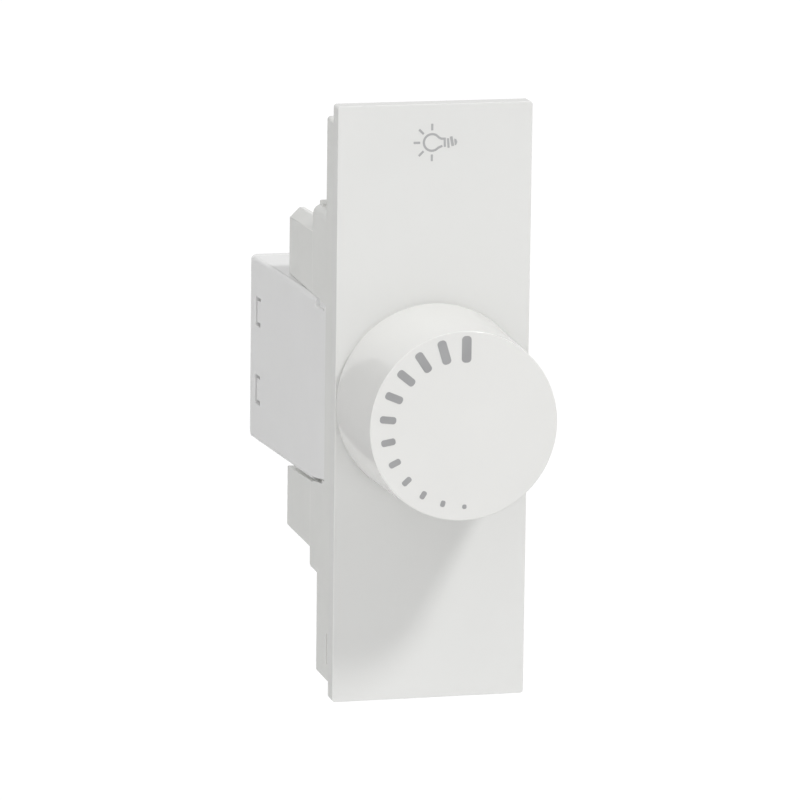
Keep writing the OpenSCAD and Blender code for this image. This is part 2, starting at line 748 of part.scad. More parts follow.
// Push switch
module at_switch_contacts() {
  for (s = [-1, 1]) translate([s * switch_contact_x, switch_contact_y, 0]) children();
}
module switch_case() {
  inner = switch_w - 2 * switch_wall;
  color("dimgray") stand() difference() {
    on_axis() block(switch_w, -switch_w / 2, switch_w / 2, pot_back, board_d);
    on_axis() block(inner, -inner / 2, inner / 2, pot_back - past, switch_floor);
    at_switch_contacts() rod(pin_r + run_gap, 0, board_d + past);
  }
}
module switch_plunger() {
  side = switch_w - 2 * switch_wall - 2 * slide_gap;
  color("ivory") stand() on_axis() {
    block(side, -side / 2, side / 2, plunger_d, plunger_back);
    rod(boss_r, plunger_d, plunger_back + boss_l);
  }
}
module return_spring() { color("silver") stand() tube(spring_path, spring_out, spring_wire / 2, 6); }
module moving_contact() {
  back = plunger_back + bar_thin;
  color("goldenrod") stand() {
    translate([0, switch_contact_y, 0])
      block(2 * switch_contact_x + bar_thin_w, -bar_thin_w / 2, bar_thin_w / 2, plunger_back, back);
    at_switch_contacts() rod(tip_r, plunger_back, back + tip_l);
  }
}
module fixed_contacts() {
  color("goldenrod") stand() at_switch_contacts() {
    rod(2 * pin_r, fixed_d, switch_floor);
    rod(pin_r, fixed_d, tail_end);
  }
}

// Terminal block
module cheeks(bevel) {
  w = carrier_w / 2;
  h = block_h / 2;
  corner = bevel > 0 ? [[w, h - bevel], [w - bevel, h]] : [[w, h]];
  both_sides() translate([0, 0, -block_d]) linear_extrude(block_d - shoulder_d)
    polygon(concat([[w - cheek_w, 0], [w, 0]], corner, [[w - cheek_w, h]]));
}
module terminal_room() {
  rear = block_d + past;
  translate([0, terminal_y, 0])
    block(cage_w + 2 * slide_gap, -cage_reach, cage_reach, cage_front - fit_gap, rear);
  block(bar_w + 2 * fit_gap, 0, terminal_y, bar_rear - bar_t - fit_gap, rear);
  translate([0, terminal_y, -wire_d]) rotate([-90, 0, 0]) cylinder(r = wire_r, h = block_h);
}
module terminal_block() {
  low_h = block_h / 2 - cheek_rise;
  color("white") stand() difference() {
    union() {
      on_body() block(carrier_w, -low_h, low_h, shoulder_d, block_d);
      body_half(1) cheeks(cheek_bevel);
      body_half(-1) cheeks(0);
      upper_and_lower() translate([0, terminal_y, 0]) rod(post_r, bridge_back, shoulder_d + bite);
    }
    on_housing() block(core_w, -core_h / 2, core_h / 2, 0, block_d + past);
    arm_pocket(0, block_d + past, fit_gap);
    for (i = [0:3]) at_terminal(i) terminal_room();
    upper_and_lower() {
      block(cover_w, terminal_y - cover_h / 2, terminal_y + cover_h / 2, block_d - cover_t, block_d + past);
      translate([0, terminal_y, 0]) {
        rod(carrier_screw_r + run_gap, 0, carrier_screw_end + blind_room);
        rod(cover_screw_r + run_gap, cover_screw_end - blind_room, block_d);
      }
    }
  }
}
module contact_bars() {
  color("goldenrod") stand() for (i = [0:3]) at_terminal(i) {
    block(bar_w, leg_y, terminal_y + cage_l / 2 - bar_short, bar_rear - bar_t, bar_rear);
    block(bar_w, leg_y, leg_y + bar_t, bar_rear - bar_t, board_d);
    block(tail_w, leg_y, leg_y + tail_w, bar_rear, tail_end);
  }
}
module terminal_cover(side) {
  color("whitesmoke") stand() body_half(side) difference() {
    translate([0, terminal_y, 0])
      block(cover_w - 2 * fit_gap, fit_gap - cover_h / 2, cover_h / 2 - fit_gap, block_d - cover_t, block_d);
    for (s = [-1, 1]) translate([s * terminal_x, terminal_y, 0]) {
      rod(screw_r + fit_gap, 0, body_d);
      rod(head_r + slide_gap, block_d - cover_t + ledge_t, body_d);
    }
    translate([0, terminal_y, 0]) {
      rod(cover_screw_r + fit_gap, 0, body_d);
      rod(small_head_r + fit_gap, block_d - small_head_t, body_d);
    }
  }
}
module upper_terminal_cover() { terminal_cover(1); }
module lower_terminal_cover() { terminal_cover(-1); }
module cover_screws() {
  color("silver") stand() upper_and_lower() translate([0, terminal_y, 0]) difference() {
    union() {
      rod(small_head_r, block_d - small_head_t, block_d);
      rod(cover_screw_r, cover_screw_end, block_d - small_head_t + bite);
    }
    translate([0, 0, -block_d]) mirror([0, 0, 1]) cross_slot(small_head_r);
  }
}
module terminal_cage(i) {
  color("gainsboro") stand() at_terminal(i) translate([0, terminal_y, 0]) difference() {
    block(cage_w, -cage_l / 2, cage_l / 2, cage_front, cage_rear);
    block(window_w, -cage_l, cage_l, cage_front + cage_front_wall, cage_rear - cage_rear_wall);
    rod(screw_r + run_gap, cage_rear - cage_rear_wall - fit_gap, cage_rear + past);
  }
}
module terminal_screw(i) {
  seat = block_d - cover_t + ledge_t + run_gap;
  color("silver") stand() at_terminal(i) translate([0, terminal_y, 0]) difference() {
    union() {
      rod(head_r, seat, head_rear);
      rod(screw_r, screw_tip, seat + head_t / 2);
    }
    translate([0, 0, -head_rear]) mirror([0, 0, 1]) cross_slot(head_r);
  }
}

// Rear housing
module housing_plan(d0, d1, inset) {
  polygon([for (p = [[1, d0], [1, d1], [-1, d1], [-1, d0]]) [p[0] * (half_w(p[1]) - inset), -p[1]]]);
}
module at_snaps() {
  on_housing() for (s = [-1, 1]) both_sides() translate([0, s * snap_pitch / 2, 0]) children();
}
module rear_housing() {
  y0 = housing_y - housing_h / 2;
  y1 = housing_y + housing_h / 2;
  color("white") stand() {
    difference() {
      drawn_along_y(y0, y1) housing_plan(arm_d, housing_back, 0);
      block(2 * (recess_x + run_gap), y0 - past, y1 + past, 0, block_d);
      drawn_along_y(housing_y - inner_h / 2, housing_y + inner_h / 2)
        housing_plan(block_d - past, housing_back + past, housing_wall);
      at_snaps() slab(recess_x, plate_w, -snap_h / 2, snap_h / 2, snap_rear - snap_l, snap_rear);
    }
    on_housing() both_sides() slab(board_w / 2 - shelf_in, half_w(board_back) - housing_wall / 2,
      -shelf_h / 2, shelf_h / 2, board_back + run_gap, board_back + shelf_l);
  }
}
module rear_cover() {
  y0 = housing_y - housing_h / 2;
  y1 = housing_y + housing_h / 2;
  w0 = half_w(housing_back);
  w1 = half_w(body_d);
  corner = [for (a = [0:15:90]) [w1 - rear_round * (1 - cos(a)), rear_round * (1 - sin(a)) - body_d]];
  mirrored = [for (i = [len(corner) - 1:-1:0]) [-corner[i][0], corner[i][1]]];
  tab_x = half_w(housing_back - tab_l) - housing_wall - fit_gap;
  snap_reach = snap_h / 2 - slide_gap - fit_gap;
  color("white") stand() {
    drawn_along_y(y0, y1) polygon(concat([[-w0, -housing_back], [w0, -housing_back]], corner, mirrored));
    on_housing() both_sides()
      slab(tab_x - tab_t, tab_x, -tab_h / 2, tab_h / 2, housing_back - tab_l, housing_back);
    at_snaps() slab(tab_x - tab_t / 2, half_w(snap_rear - snap_l) - slide_gap,
      -snap_reach, snap_reach, snap_rear - snap_l + fit_gap, snap_rear - snap_slack);
  }
}

// Power stage
module circuit_board() {
  color("darkgreen") stand() difference() {
    on_housing() block(board_w, -board_h / 2, board_h / 2, board_d, board_back);
    for (p = board_holes) translate([p[0], p[1], 0]) rod(hole_r, board_d - past, board_back + past);
  }
}
module heat_sink() {
  under = sink_top - sink_t;
  color("lightgray") stand() difference() {
    union() {
      block(sink_w, under, sink_top, board_back, stage_end);
      both_sides() slab(sink_w / 2 - sink_t, sink_w / 2, under - sink_leg, sink_top, board_back, stage_end);
    }
    translate([0, under - past, -sink_screw_d]) rotate([-90, 0, 0])
      cylinder(r = sink_screw_r + run_gap, h = sink_t + 2 * past);
  }
}
module power_transistor() {
  top = sink_top - sink_t;
  color("black") stand() {
    difference() {
      block(transistor_w, top - transistor_t, top, transistor_front, stage_end);
      translate([0, 0, -sink_screw_d]) rotate([-90, 0, 0])
        cylinder(r = sink_screw_r + slide_gap, h = top + past);
    }
    for (i = [-1:1]) translate([i * lead_pitch, lead_y, 0])
      block(tail_w, -tail_w / 2, tail_w / 2, board_d + fit_gap, transistor_front + bite);
  }
}
module transistor_screw() {
  under = sink_top - sink_t - transistor_t;
  color("silver") stand() translate([0, under, -sink_screw_d]) rotate([-90, 0, 0]) difference() {
    union() {
      translate([0, 0, -sink_head_t]) cylinder(r = sink_head_r, h = sink_head_t);
      translate([0, 0, -bite]) cylinder(r = sink_screw_r, h = bite + transistor_t + sink_t);
    }
    translate([0, 0, -sink_head_t]) mirror([0, 0, 1]) cross_slot(sink_head_r);
  }
}
module choke_core() {
  color("dimgray") stand() translate([choke_x, choke_y, -choke_d])
    rotate_extrude() translate([choke_ring_r, 0]) circle(choke_core_r);
}
module choke_winding() { color("chocolate") stand() tube(wind_path, wind_normals, choke_wire / 2, 6); }
module filter_capacitor() {
  color("royalblue") stand() translate([cap_x, cap_y, 0]) {
    block(cap_w, -cap_h / 2, cap_h / 2, board_back + lift, stage_end);
    for (s = [-1, 1]) translate([s * (cap_w / 2 - cap_lead_in), 0, 0])
      rod(lead_r, board_d + fit_gap, board_back + lift + bite);
  }
}
module thermal_fuse() {
  reach = fuse_l / 2 + lift;
  level = board_back + lift + fuse_r;
  color("gold") stand() translate([fuse_x, fuse_y, 0]) {
    translate([-fuse_l / 2, 0, -level]) rotate([0, 90, 0]) cylinder(r = fuse_r, h = fuse_l);
    translate([-reach, 0, -level]) rotate([0, 90, 0]) cylinder(r = lead_r, h = 2 * reach);
    for (s = [-1, 1]) translate([s * reach, 0, 0]) {
      rod(lead_r, board_d + fit_gap, level);
      translate([0, 0, -level]) sphere(r = lead_r);
    }
  }
}
module surface_parts() {
  first_x = fuse_x - (chip_count - 1) * chip_pitch / 2;
  color("black") stand() for (i = [0:chip_count - 1]) translate([first_x + i * chip_pitch, chip_y, 0])
    block(chip[0], -chip[1] / 2, chip[1] / 2, board_back, board_back + chip[2]);
}

cover_plate();
lamp_symbol();
carrier_frame();
carrier_screws();
knob();
knob_scale();
hub_ring();
control_shaft();
pot_bushing();
lock_washer();
bushing_nut();
pot_case();
wiper_rotor();
wiper_contact();
carbon_track();
track_wafer();
pot_pins();
switch_case();
switch_plunger();
return_spring();
moving_contact();
fixed_contacts();
terminal_block();
contact_bars();
upper_terminal_cover();
lower_terminal_cover();
cover_screws();
for (i = [0:3]) terminal_cage(i);
for (i = [0:3]) terminal_screw(i);
rear_housing();
rear_cover();
circuit_board();
heat_sink();
power_transistor();
transistor_screw();
choke_core();
choke_winding();
filter_capacitor();
thermal_fuse();
surface_parts();
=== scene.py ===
import json
import math

import bmesh
import bpy
import numpy as np
from mathutils import Matrix, Vector


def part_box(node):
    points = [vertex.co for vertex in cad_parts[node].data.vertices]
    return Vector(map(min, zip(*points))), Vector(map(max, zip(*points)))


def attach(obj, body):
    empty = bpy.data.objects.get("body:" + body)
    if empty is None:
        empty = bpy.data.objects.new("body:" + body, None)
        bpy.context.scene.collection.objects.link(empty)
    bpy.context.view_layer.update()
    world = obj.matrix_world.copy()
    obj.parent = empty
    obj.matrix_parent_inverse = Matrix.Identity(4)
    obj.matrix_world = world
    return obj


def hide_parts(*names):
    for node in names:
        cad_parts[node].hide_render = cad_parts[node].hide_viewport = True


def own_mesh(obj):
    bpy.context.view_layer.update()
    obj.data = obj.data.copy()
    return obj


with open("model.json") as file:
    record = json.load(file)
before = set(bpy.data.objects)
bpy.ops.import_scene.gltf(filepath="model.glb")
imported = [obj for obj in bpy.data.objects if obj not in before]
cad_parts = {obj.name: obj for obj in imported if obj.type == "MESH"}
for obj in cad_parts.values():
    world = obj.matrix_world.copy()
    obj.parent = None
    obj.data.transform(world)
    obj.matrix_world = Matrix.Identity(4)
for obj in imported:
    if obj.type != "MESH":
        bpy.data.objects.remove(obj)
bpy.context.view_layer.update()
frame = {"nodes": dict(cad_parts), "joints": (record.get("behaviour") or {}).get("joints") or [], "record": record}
joints = {joint["name"]: joint for joint in frame["joints"]}
mm = 0.001
seam = 0.004 * mm  # points closer than this become one
past = 1.0  # how far a cut goes past the face that it opens, in mm
into = 0.4  # how far an added shell reaches into the piece, in mm
outside = 15.0  # a distance from the middle that lies beyond both sides, in mm
axisZ = joints["knob_turn"]["pos_m"][2] / mm
print("frame loaded:", len(frame["nodes"]), "nodes")


# Corners of a node's box, in millimetres
def boxOf(node):
    return [np.array(corner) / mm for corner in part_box(node)]


# Shells. A shell is a pair: an array of points in millimetres and a list of faces.

# Rings of points in a row become quads between neighbours; both ends get a flat cap
def shell(rings):
    count, around = rings.shape[:2]
    here = np.arange(count - 1)[:, None] * around
    side = np.arange(around)
    after = (side + 1) % around
    quads = np.stack([here + side, here + after, here + around + after, here + around + side], -1)
    caps = [list(range(around))[::-1], list(range((count - 1) * around, count * around))]
    return rings.reshape(-1, 3), quads.reshape(-1, 4).tolist() + caps


# Each corner of an outline becomes an arc: its centre lies on the corner's bisector at
# radius / sin(half the corner's angle), and the arc's points are weighted sums of its two ends
def roundedOutline(corners, radii, steps):
    corner = np.asarray(corners, float)
    radius = np.broadcast_to(np.maximum(np.asarray(radii, float), 1e-4), len(corner))
    back = np.roll(corner, 1, 0) - corner
    ahead = np.roll(corner, -1, 0) - corner
    back /= np.linalg.norm(back, axis=1, keepdims=True)
    ahead /= np.linalg.norm(ahead, axis=1, keepdims=True)
    half = np.arccos(np.clip((back * ahead).sum(1), -1, 1)) / 2
    middle = back + ahead
    middle /= np.linalg.norm(middle, axis=1, keepdims=True)
    centre = corner + middle * (radius / np.sin(half))[:, None]
    reach = (radius / np.tan(half))[:, None]
    first = corner + back * reach - centre
    last = corner + ahead * reach - centre
    sweep = (np.pi - 2 * half)[:, None]
    share = np.linspace(0, 1, steps + 1)
    weightFirst = np.sin((1 - share) * sweep) / np.sin(sweep)
    weightLast = np.sin(share * sweep) / np.sin(sweep)
    arcs = centre[:, None] + weightFirst[..., None] * first[:, None] + weightLast[..., None] * last[:, None]
    return arcs.reshape(-1, 2)


# An outline in the two other axes, carried along one axis through the given stations
def drawn(outline, axis, stations):
    others = [i for i in range(3) if i != axis]
    rings = np.zeros((len(stations), len(outline), 3))
    rings[..., others] = outline
    rings[..., axis] = np.asarray(stations, float)[:, None]
    return shell(rings)


# A box between two opposite corners
def plainBox(lo, hi):
    corners = [[lo[0], lo[2]], [hi[0], lo[2]], [hi[0], hi[2]], [lo[0], hi[2]]]
    return drawn(np.asarray(corners, float), 1, [lo[1], hi[1]])


# A round rod: the points of a circle = centre + radius * (cosine, sine), carried along one axis
def rod(centre, radius, axis, lo, hi, sides=48):
    turn = np.arange(sides) * 2 * np.pi / sides
    circle = np.asarray(centre) + radius * np.stack([np.cos(turn), np.sin(turn)], 1)
    return drawn(circle, axis, [lo, hi])


# Rounded rectangles in x and z, one ring for each depth: every value may change from ring to ring.
# A corner's point = the arc's centre + radius * its direction.
def ringBox(depth, half, low, high, topCorner, lowCorner, steps=6):
    depth = np.asarray(depth, float)
    spread = lambda value: np.broadcast_to(np.asarray(value, float), depth.shape)[:, None]
    quarter = np.linspace(0, np.pi / 2, steps + 1)
    turn = (np.arange(4)[:, None] * np.pi / 2 + quarter).ravel()
    sideX = np.repeat([1, -1, -1, 1], steps + 1)
    upper = np.repeat([True, True, False, False], steps + 1)
    radius = np.where(upper, spread(topCorner), spread(lowCorner))
    edgeZ = np.where(upper, spread(high) - radius, spread(low) + radius)
    rings = np.zeros((len(depth), len(turn), 3))
    rings[..., 0] = sideX * (spread(half) - radius) + radius * np.cos(turn)
    rings[..., 1] = depth[:, None]
    rings[..., 2] = edgeZ + radius * np.sin(turn)
    return shell(rings)


# Depths and insets of a round edge at both ends of a box: quarter circles of the two radii
def roundEnds(front, back, frontEdge, backEdge, steps=6):
    turn = np.linspace(0, np.pi / 2, steps + 1)
    depth = np.r_[front + frontEdge * (1 - np.cos(turn)), back - backEdge * (1 - np.sin(turn))]
    inset = np.r_[frontEdge * (1 - np.sin(turn)), backEdge * (1 - np.cos(turn))]
    return depth, inset


# Rings about an axis along y, with a radius for each ring and angle.
# A point = the axis + its radius * (cosine, sine) of its angle.
def turned(radius, depth, centreZ):
    sides = radius.shape[1]
    turn = np.arange(sides) * 2 * np.pi / sides
    rings = np.zeros((len(depth), sides, 3))
    rings[..., 0] = radius * np.cos(turn)
    rings[..., 1] = depth[:, None]
    rings[..., 2] = centreZ + radius * np.sin(turn)
    return shell(rings)


# A round wire along a path: each ring lies across the path, turned out along the given normals
def wire(path, outward, radius, sides):
    along = np.gradient(path, axis=0)
    along /= np.linalg.norm(along, axis=1, keepdims=True)
    first = outward - along * (along * outward).sum(1, keepdims=True)
    first /= np.linalg.norm(first, axis=1, keepdims=True)
    second = np.cross(along, first)
    turn = np.arange(sides) * 2 * np.pi / sides
    offset = np.cos(turn)[:, None] * first[:, None] + np.sin(turn)[:, None] * second[:, None]
    return shell(path[:, None] + radius * offset)


# Several shells become one object, in metres, with its faces turned outwards
def solid(name, shells):
    points, faces, start = [], [], 0
    for verts, polys in shells:
        points.append(verts)
        faces += [[index + start for index in poly] for poly in polys]
        start += len(verts)
    mesh = bpy.data.meshes.new(name)
    mesh.from_pydata((np.concatenate(points) * mm).tolist(), [], faces)
    piece = bpy.data.objects.new(name, mesh)
    bpy.context.scene.collection.objects.link(piece)
    tidyMesh(mesh)
    return piece


# Doubles are merged before the normals are worked out
def tidyMesh(mesh):
    work = bmesh.new()
    work.from_mesh(mesh)
    bmesh.ops.remove_doubles(work, verts=work.verts, dist=seam)
    bmesh.ops.dissolve_degenerate(work, edges=work.edges, dist=seam)
    bmesh.ops.recalc_face_normals(work, faces=work.faces)
    work.to_mesh(mesh)
    work.free()
    mesh.update()


# The piece's modifiers become its mesh
def bake(piece):
    depsgraph = bpy.context.evaluated_depsgraph_get()
    mesh = bpy.data.meshes.new_from_object(piece.evaluated_get(depsgraph))
    piece.modifiers.clear()
    old = piece.data
    piece.data = mesh
    bpy.data.meshes.remove(old)
    mesh.name = piece.name


# Shells are joined to the piece and cut out of it, in the order given
def carve(piece, steps):
    helpers = []
    for number, (operation, part) in enumerate(steps):
        helper = solid(f"{piece.name}_helper_{number}", [part])
        modifier = piece.modifiers.new("cut", "BOOLEAN")
        modifier.operation = operation
        modifier.solver = "EXACT"
        modifier.object = helper
        helpers.append(helper)
    bake(piece)
    for helper in helpers:
        mesh = helper.data
        bpy.data.objects.remove(helper)
        bpy.data.meshes.remove(mesh)
    tidyMesh(piece.data)


# Sharp edges get a round of the given width. A node's loose triangles are first merged into flat faces.
def softenEdges(piece, width, segments, angle=35, weld=False):
    if weld:
        merge = piece.modifiers.new("merge", "WELD")
        merge.merge_threshold = seam / 2
        flat = piece.modifiers.new("flat", "DECIMATE")
        flat.decimate_type = "DISSOLVE"
        flat.angle_limit = math.radians(1)
    edge = piece.modifiers.new("edge", "BEVEL")
    edge.width = width * mm
    edge.segments = segments
    edge.limit_method = "ANGLE"
    edge.angle_limit = math.radians(angle)
    edge.use_clamp_overlap = weld
    edge.miter_outer = "MITER_ARC"


# Large faces lead the shading across their soft edges
def evenNormals(piece):
    even = piece.modifiers.new("even", "WEIGHTED_NORMAL")
    even.keep_sharp = True


def smoothShade(piece, sharp=50):
    piece.data.shade_smooth()
    piece.data.set_sharp_from_angle(angle=math.radians(sharp))
    evenNormals(piece)


# The last steps of a piece that was carved: round edges, then shading
def roundOff(piece, width, segments=2):
    softenEdges(piece, width, segments)
    bake(piece)
    smoothShade(piece)


# A finished piece takes the place of its node and moves with that node's body
def place(piece, body, node, slot, finish=None):
    piece.data.materials.clear()
    piece.data.materials.append(finishes[finish or slot])
    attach(piece, body)
    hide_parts(node)
    print("piece", piece.name, len(piece.data.polygons), "faces")


# Materials: shared node groups first
def newGroup(name, inputs, outputs):
    group = bpy.data.node_groups.new(name, "ShaderNodeTree")
    for label, value in inputs:
        socket = group.interface.new_socket(label, in_out="INPUT", socket_type="NodeSocketFloat")
        socket.default_value = value
    for label, kind in outputs:
        group.interface.new_socket(label, in_out="OUTPUT", socket_type=kind)
    return group, group.nodes.new("NodeGroupInput"), group.nodes.new("NodeGroupOutput")


def noise(tree, vector, scale, detail, roughness):
    node = tree.nodes.new("ShaderNodeTexNoise")
    node.inputs["Detail"].default_value = detail
    node.inputs["Roughness"].default_value = roughness
    tree.links.new(vector, node.inputs["Vector"])
    if isinstance(scale, (int, float)):
        node.inputs["Scale"].default_value = scale
    else:
        tree.links.new(scale, node.inputs["Scale"])
    return node.outputs["Fac"]


def maths(tree, operation, first, second):
    node = tree.nodes.new("ShaderNodeMath")
    node.operation = operation
    for socket, value in zip(node.inputs, (first, second)):
        if isinstance(value, (int, float)):
            socket.default_value = value
        else:
            tree.links.new(value, socket)
    return node.outputs[0]


# Fine grain of a mould and the slow flow marks of the plastic that filled it.
# Height = grain noise; Tone = slow noise; Gloss = 0.7 * a patchy noise + 0.3 * the grain.
def mouldGroup():
    group, enter, leave = newGroup(
        "mouldGrain",
        [("Grain Scale", 2600.0), ("Flow Scale", 45.0)],
        [("Height", "NodeSocketFloat"), ("Tone", "NodeSocketFloat"), ("Gloss", "NodeSocketFloat")])
    where = group.nodes.new("ShaderNodeTexCoord").outputs["Object"]
    grain = noise(group, where, enter.outputs["Grain Scale"], 3.0, 0.6)
    flow = noise(group, where, enter.outputs["Flow Scale"], 2.0, 0.45)
    patches = noise(group, where, maths(group, "MULTIPLY", enter.outputs["Flow Scale"], 4.3), 3.0, 0.5)
    coarse = maths(group, "MULTIPLY", patches, 0.7)
    fine = maths(group, "MULTIPLY", grain, 0.3)
    group.links.new(grain, leave.inputs["Height"])
    group.links.new(flow, leave.inputs["Tone"])
    group.links.new(maths(group, "ADD", coarse, fine), leave.inputs["Gloss"])
    return group


wornEdge = (0.51, 0.6)  # pointiness at which wear starts and is full


# Lines left by drawing or brushing a metal: noise stretched along one axis.
# Wear = the mesh's convex edges, broken up by noise.
def metalGroup():
    group, enter, leave = newGroup(
        "metalFinish",
        [("Scale X", 300.0), ("Scale Y", 6000.0), ("Scale Z", 300.0)],
        [("Height", "NodeSocketFloat"), ("Tone", "NodeSocketFloat"), ("Wear", "NodeSocketFloat")])
    where = group.nodes.new("ShaderNodeTexCoord").outputs["Object"]
    stretch = group.nodes.new("ShaderNodeCombineXYZ")
    for axis in "XYZ":
        group.links.new(enter.outputs["Scale " + axis], stretch.inputs[axis])
    scaled = group.nodes.new("ShaderNodeVectorMath")
    scaled.operation = "MULTIPLY"
    group.links.new(where, scaled.inputs[0])
    group.links.new(stretch.outputs[0], scaled.inputs[1])
    lines = noise(group, scaled.outputs[0], 1.0, 3.0, 0.6)
    clouds = noise(group, where, 420.0, 3.0, 0.55)
    pointed = group.nodes.new("ShaderNodeNewGeometry").outputs["Pointiness"]
    edge = group.nodes.new("ShaderNodeMapRange")
    edge.inputs["From Min"].default_value, edge.inputs["From Max"].default_value = wornEdge
    group.links.new(pointed, edge.inputs["Value"])
    group.links.new(lines, leave.inputs["Height"])
    group.links.new(clouds, leave.inputs["Tone"])
    group.links.new(maths(group, "MULTIPLY", edge.outputs[0], clouds), leave.inputs["Wear"])
    return group


mould = mouldGroup()
metal = metalGroup()
noiseRange = (0.3, 0.7)  # most values of a noise lie between these


def blank(name):
    material = bpy.data.materials.new(name)
    material.use_nodes = True
    shader = next(node for node in material.node_tree.nodes if node.type == "BSDF_PRINCIPLED")
    return material, material.node_tree, shader


def placeGroup(tree, group, values):
    node = tree.nodes.new("ShaderNodeGroup")
    node.node_tree = group
    for label, value in values.items():
        node.inputs[label].default_value = value
    return node


# A colour that goes from dark to light as the mask crosses a noise's range
def tones(tree, mask, dark, light):
    ramp = tree.nodes.new("ShaderNodeValToRGB")
    for element, position, colour in zip(ramp.color_ramp.elements, noiseRange, (dark, light)):
        element.position = position
        element.color = (*colour, 1)
    tree.links.new(mask, ramp.inputs["Fac"])
    return ramp.outputs["Color"]


# A value that goes from low to high as the mask crosses a noise's range
def between(tree, mask, low, high):
    node = tree.nodes.new("ShaderNodeMapRange")
    for label, value in zip(("From Min", "From Max", "To Min", "To Max"), (*noiseRange, low, high)):
        node.inputs[label].default_value = value
    tree.links.new(mask, node.inputs["Value"])
    return node.outputs[0]


def bump(tree, height, depth):
    node = tree.nodes.new("ShaderNodeBump")
    node.inputs["Distance"].default_value = depth * mm
    tree.links.new(height, node.inputs["Height"])
    return node.outputs["Normal"]


def shade(colour, factor):
    return tuple(min(1.0, channel * factor) for channel in colour)


# Moulded plastic: its colour varies by the spread, its roughness and its fine relief with the mould's grain
def plasticMaterial(name, colour, rough, spread=0.012, depth=0.0005, grain=1600.0, flow=45.0):
    material, tree, shader = blank(name)
    group = placeGroup(tree, mould, {"Grain Scale": grain, "Flow Scale": flow})
    tint = tones(tree, group.outputs["Tone"], shade(colour, 1 - spread), shade(colour, 1 + spread))
    tree.links.new(tint, shader.inputs["Base Color"])
    tree.links.new(between(tree, group.outputs["Gloss"], *rough), shader.inputs["Roughness"])
    tree.links.new(bump(tree, group.outputs["Height"], depth), shader.inputs["Normal"])
    shader.inputs["IOR"].default_value = 1.5
    return material


metalTones = {"dark": 0.88, "light": 1.06, "worn": 1.25}  # shares of the metal's colour


# Metal with drawn lines, cloudy roughness and brighter worn edges
def metalMaterial(name, colour, rough=(0.28, 0.4), lines=(300.0, 6000.0, 300.0), depth=0.002):
    material, tree, shader = blank(name)
    group = placeGroup(tree, metal, dict(zip(("Scale X", "Scale Y", "Scale Z"), lines)))
    dark, light, worn = [shade(colour, share) for share in metalTones.values()]
    mix = tree.nodes.new("ShaderNodeMix")
    mix.data_type = "RGBA"
    tree.links.new(group.outputs["Wear"], mix.inputs["Factor"])
    tree.links.new(tones(tree, group.outputs["Tone"], dark, light), mix.inputs["A"])
    mix.inputs["B"].default_value = (*worn, 1)
    tree.links.new(mix.outputs["Result"], shader.inputs["Base Color"])
    tree.links.new(between(tree, group.outputs["Tone"], *rough), shader.inputs["Roughness"])
    tree.links.new(bump(tree, group.outputs["Height"], depth), shader.inputs["Normal"])
    shader.inputs["Metallic"].default_value = 1.0
    return material


# Plastics, inks and resins: colour, roughness from and to, then, where they aren't the usual ones,
# the tone's spread, the relief's depth in mm, and the scales of the grain and of the flow marks
plastics = {
    "plate_white": ((0.777, 0.778, 0.763), (0.2, 0.26)),
    "knob_white": ((0.793, 0.791, 0.773), (0.1, 0.16), 0.012, 0.0005, 1600.0, 60.0),
    "body_white": ((0.8, 0.8, 0.797), (0.2, 0.26)),
    "frame_white": ((0.783, 0.786, 0.764), (0.2, 0.26)),
    "terminal_cover_white": ((0.76, 0.76, 0.745), (0.3, 0.42), 0.012, 0.003),
    "mark_grey": ((0.352, 0.352, 0.357), (0.4, 0.55), 0.05, 0.002, 6000.0, 400.0),
    "lamp_grey": ((0.43, 0.43, 0.435), (0.4, 0.55), 0.05, 0.002, 6000.0, 400.0),
    "carbon_ink": ((0.012, 0.012, 0.013), (0.45, 0.6), 0.2, 0.004, 5000.0, 700.0),
    "brown_laminate": ((0.17, 0.072, 0.024), (0.35, 0.5), 0.18, 0.004, 1800.0, 600.0),
    "ivory_nylon": ((0.68, 0.63, 0.49), (0.34, 0.46), 0.03, 0.003),
    "dark_nylon": ((0.023, 0.023, 0.025), (0.36, 0.5), 0.12, 0.004),
    "green_board": ((0.008, 0.075, 0.02), (0.28, 0.38), 0.16, 0.004, 900.0, 300.0),
    "black_resin": ((0.009, 0.009, 0.01), (0.3, 0.46), 0.15, 0.004, 3200.0, 500.0),
    "iron_powder": ((0.035, 0.038, 0.04), (0.4, 0.6), 0.25, 0.01, 2200.0, 800.0),
    "capacitor_blue": ((0.012, 0.045, 0.22), (0.16, 0.26), 0.12, 0.006, 1200.0, 260.0),
}
# Metals: colour, then, where they aren't the usual ones, roughness from and to, the scales of the lines
# along x, y and z, and their depth in mm
metals = {
    "zinc_steel": ((0.66, 0.67, 0.69),),
    "cage_steel": ((0.6, 0.59, 0.56), (0.28, 0.4), (4000.0, 300.0, 300.0)),
    "shaft_aluminium": ((0.74, 0.75, 0.76), (0.2, 0.27)),
    "bushing_zinc": ((0.52, 0.53, 0.54), (0.34, 0.5), (900.0, 900.0, 900.0), 0.004),
    "spring_steel": ((0.5, 0.51, 0.53), (0.18, 0.26)),
    "contact_brass": ((0.72, 0.5, 0.2), (0.28, 0.36), (300.0, 300.0, 5000.0)),
    "tinned_pin": ((0.68, 0.68, 0.66), (0.28, 0.4), (800.0, 800.0, 800.0), 0.003),
    "sink_aluminium": ((0.7, 0.71, 0.72), (0.3, 0.44), (300.0, 4000.0, 300.0), 0.003),
    "enamelled_wire": ((0.5, 0.17, 0.06), (0.12, 0.22), (500.0, 500.0, 500.0)),
    "fuse_case": ((0.66, 0.5, 0.24), (0.28, 0.38), (5000.0, 300.0, 300.0)),
}
finishes = {name: plasticMaterial(name, *values) for name, values in plastics.items()}
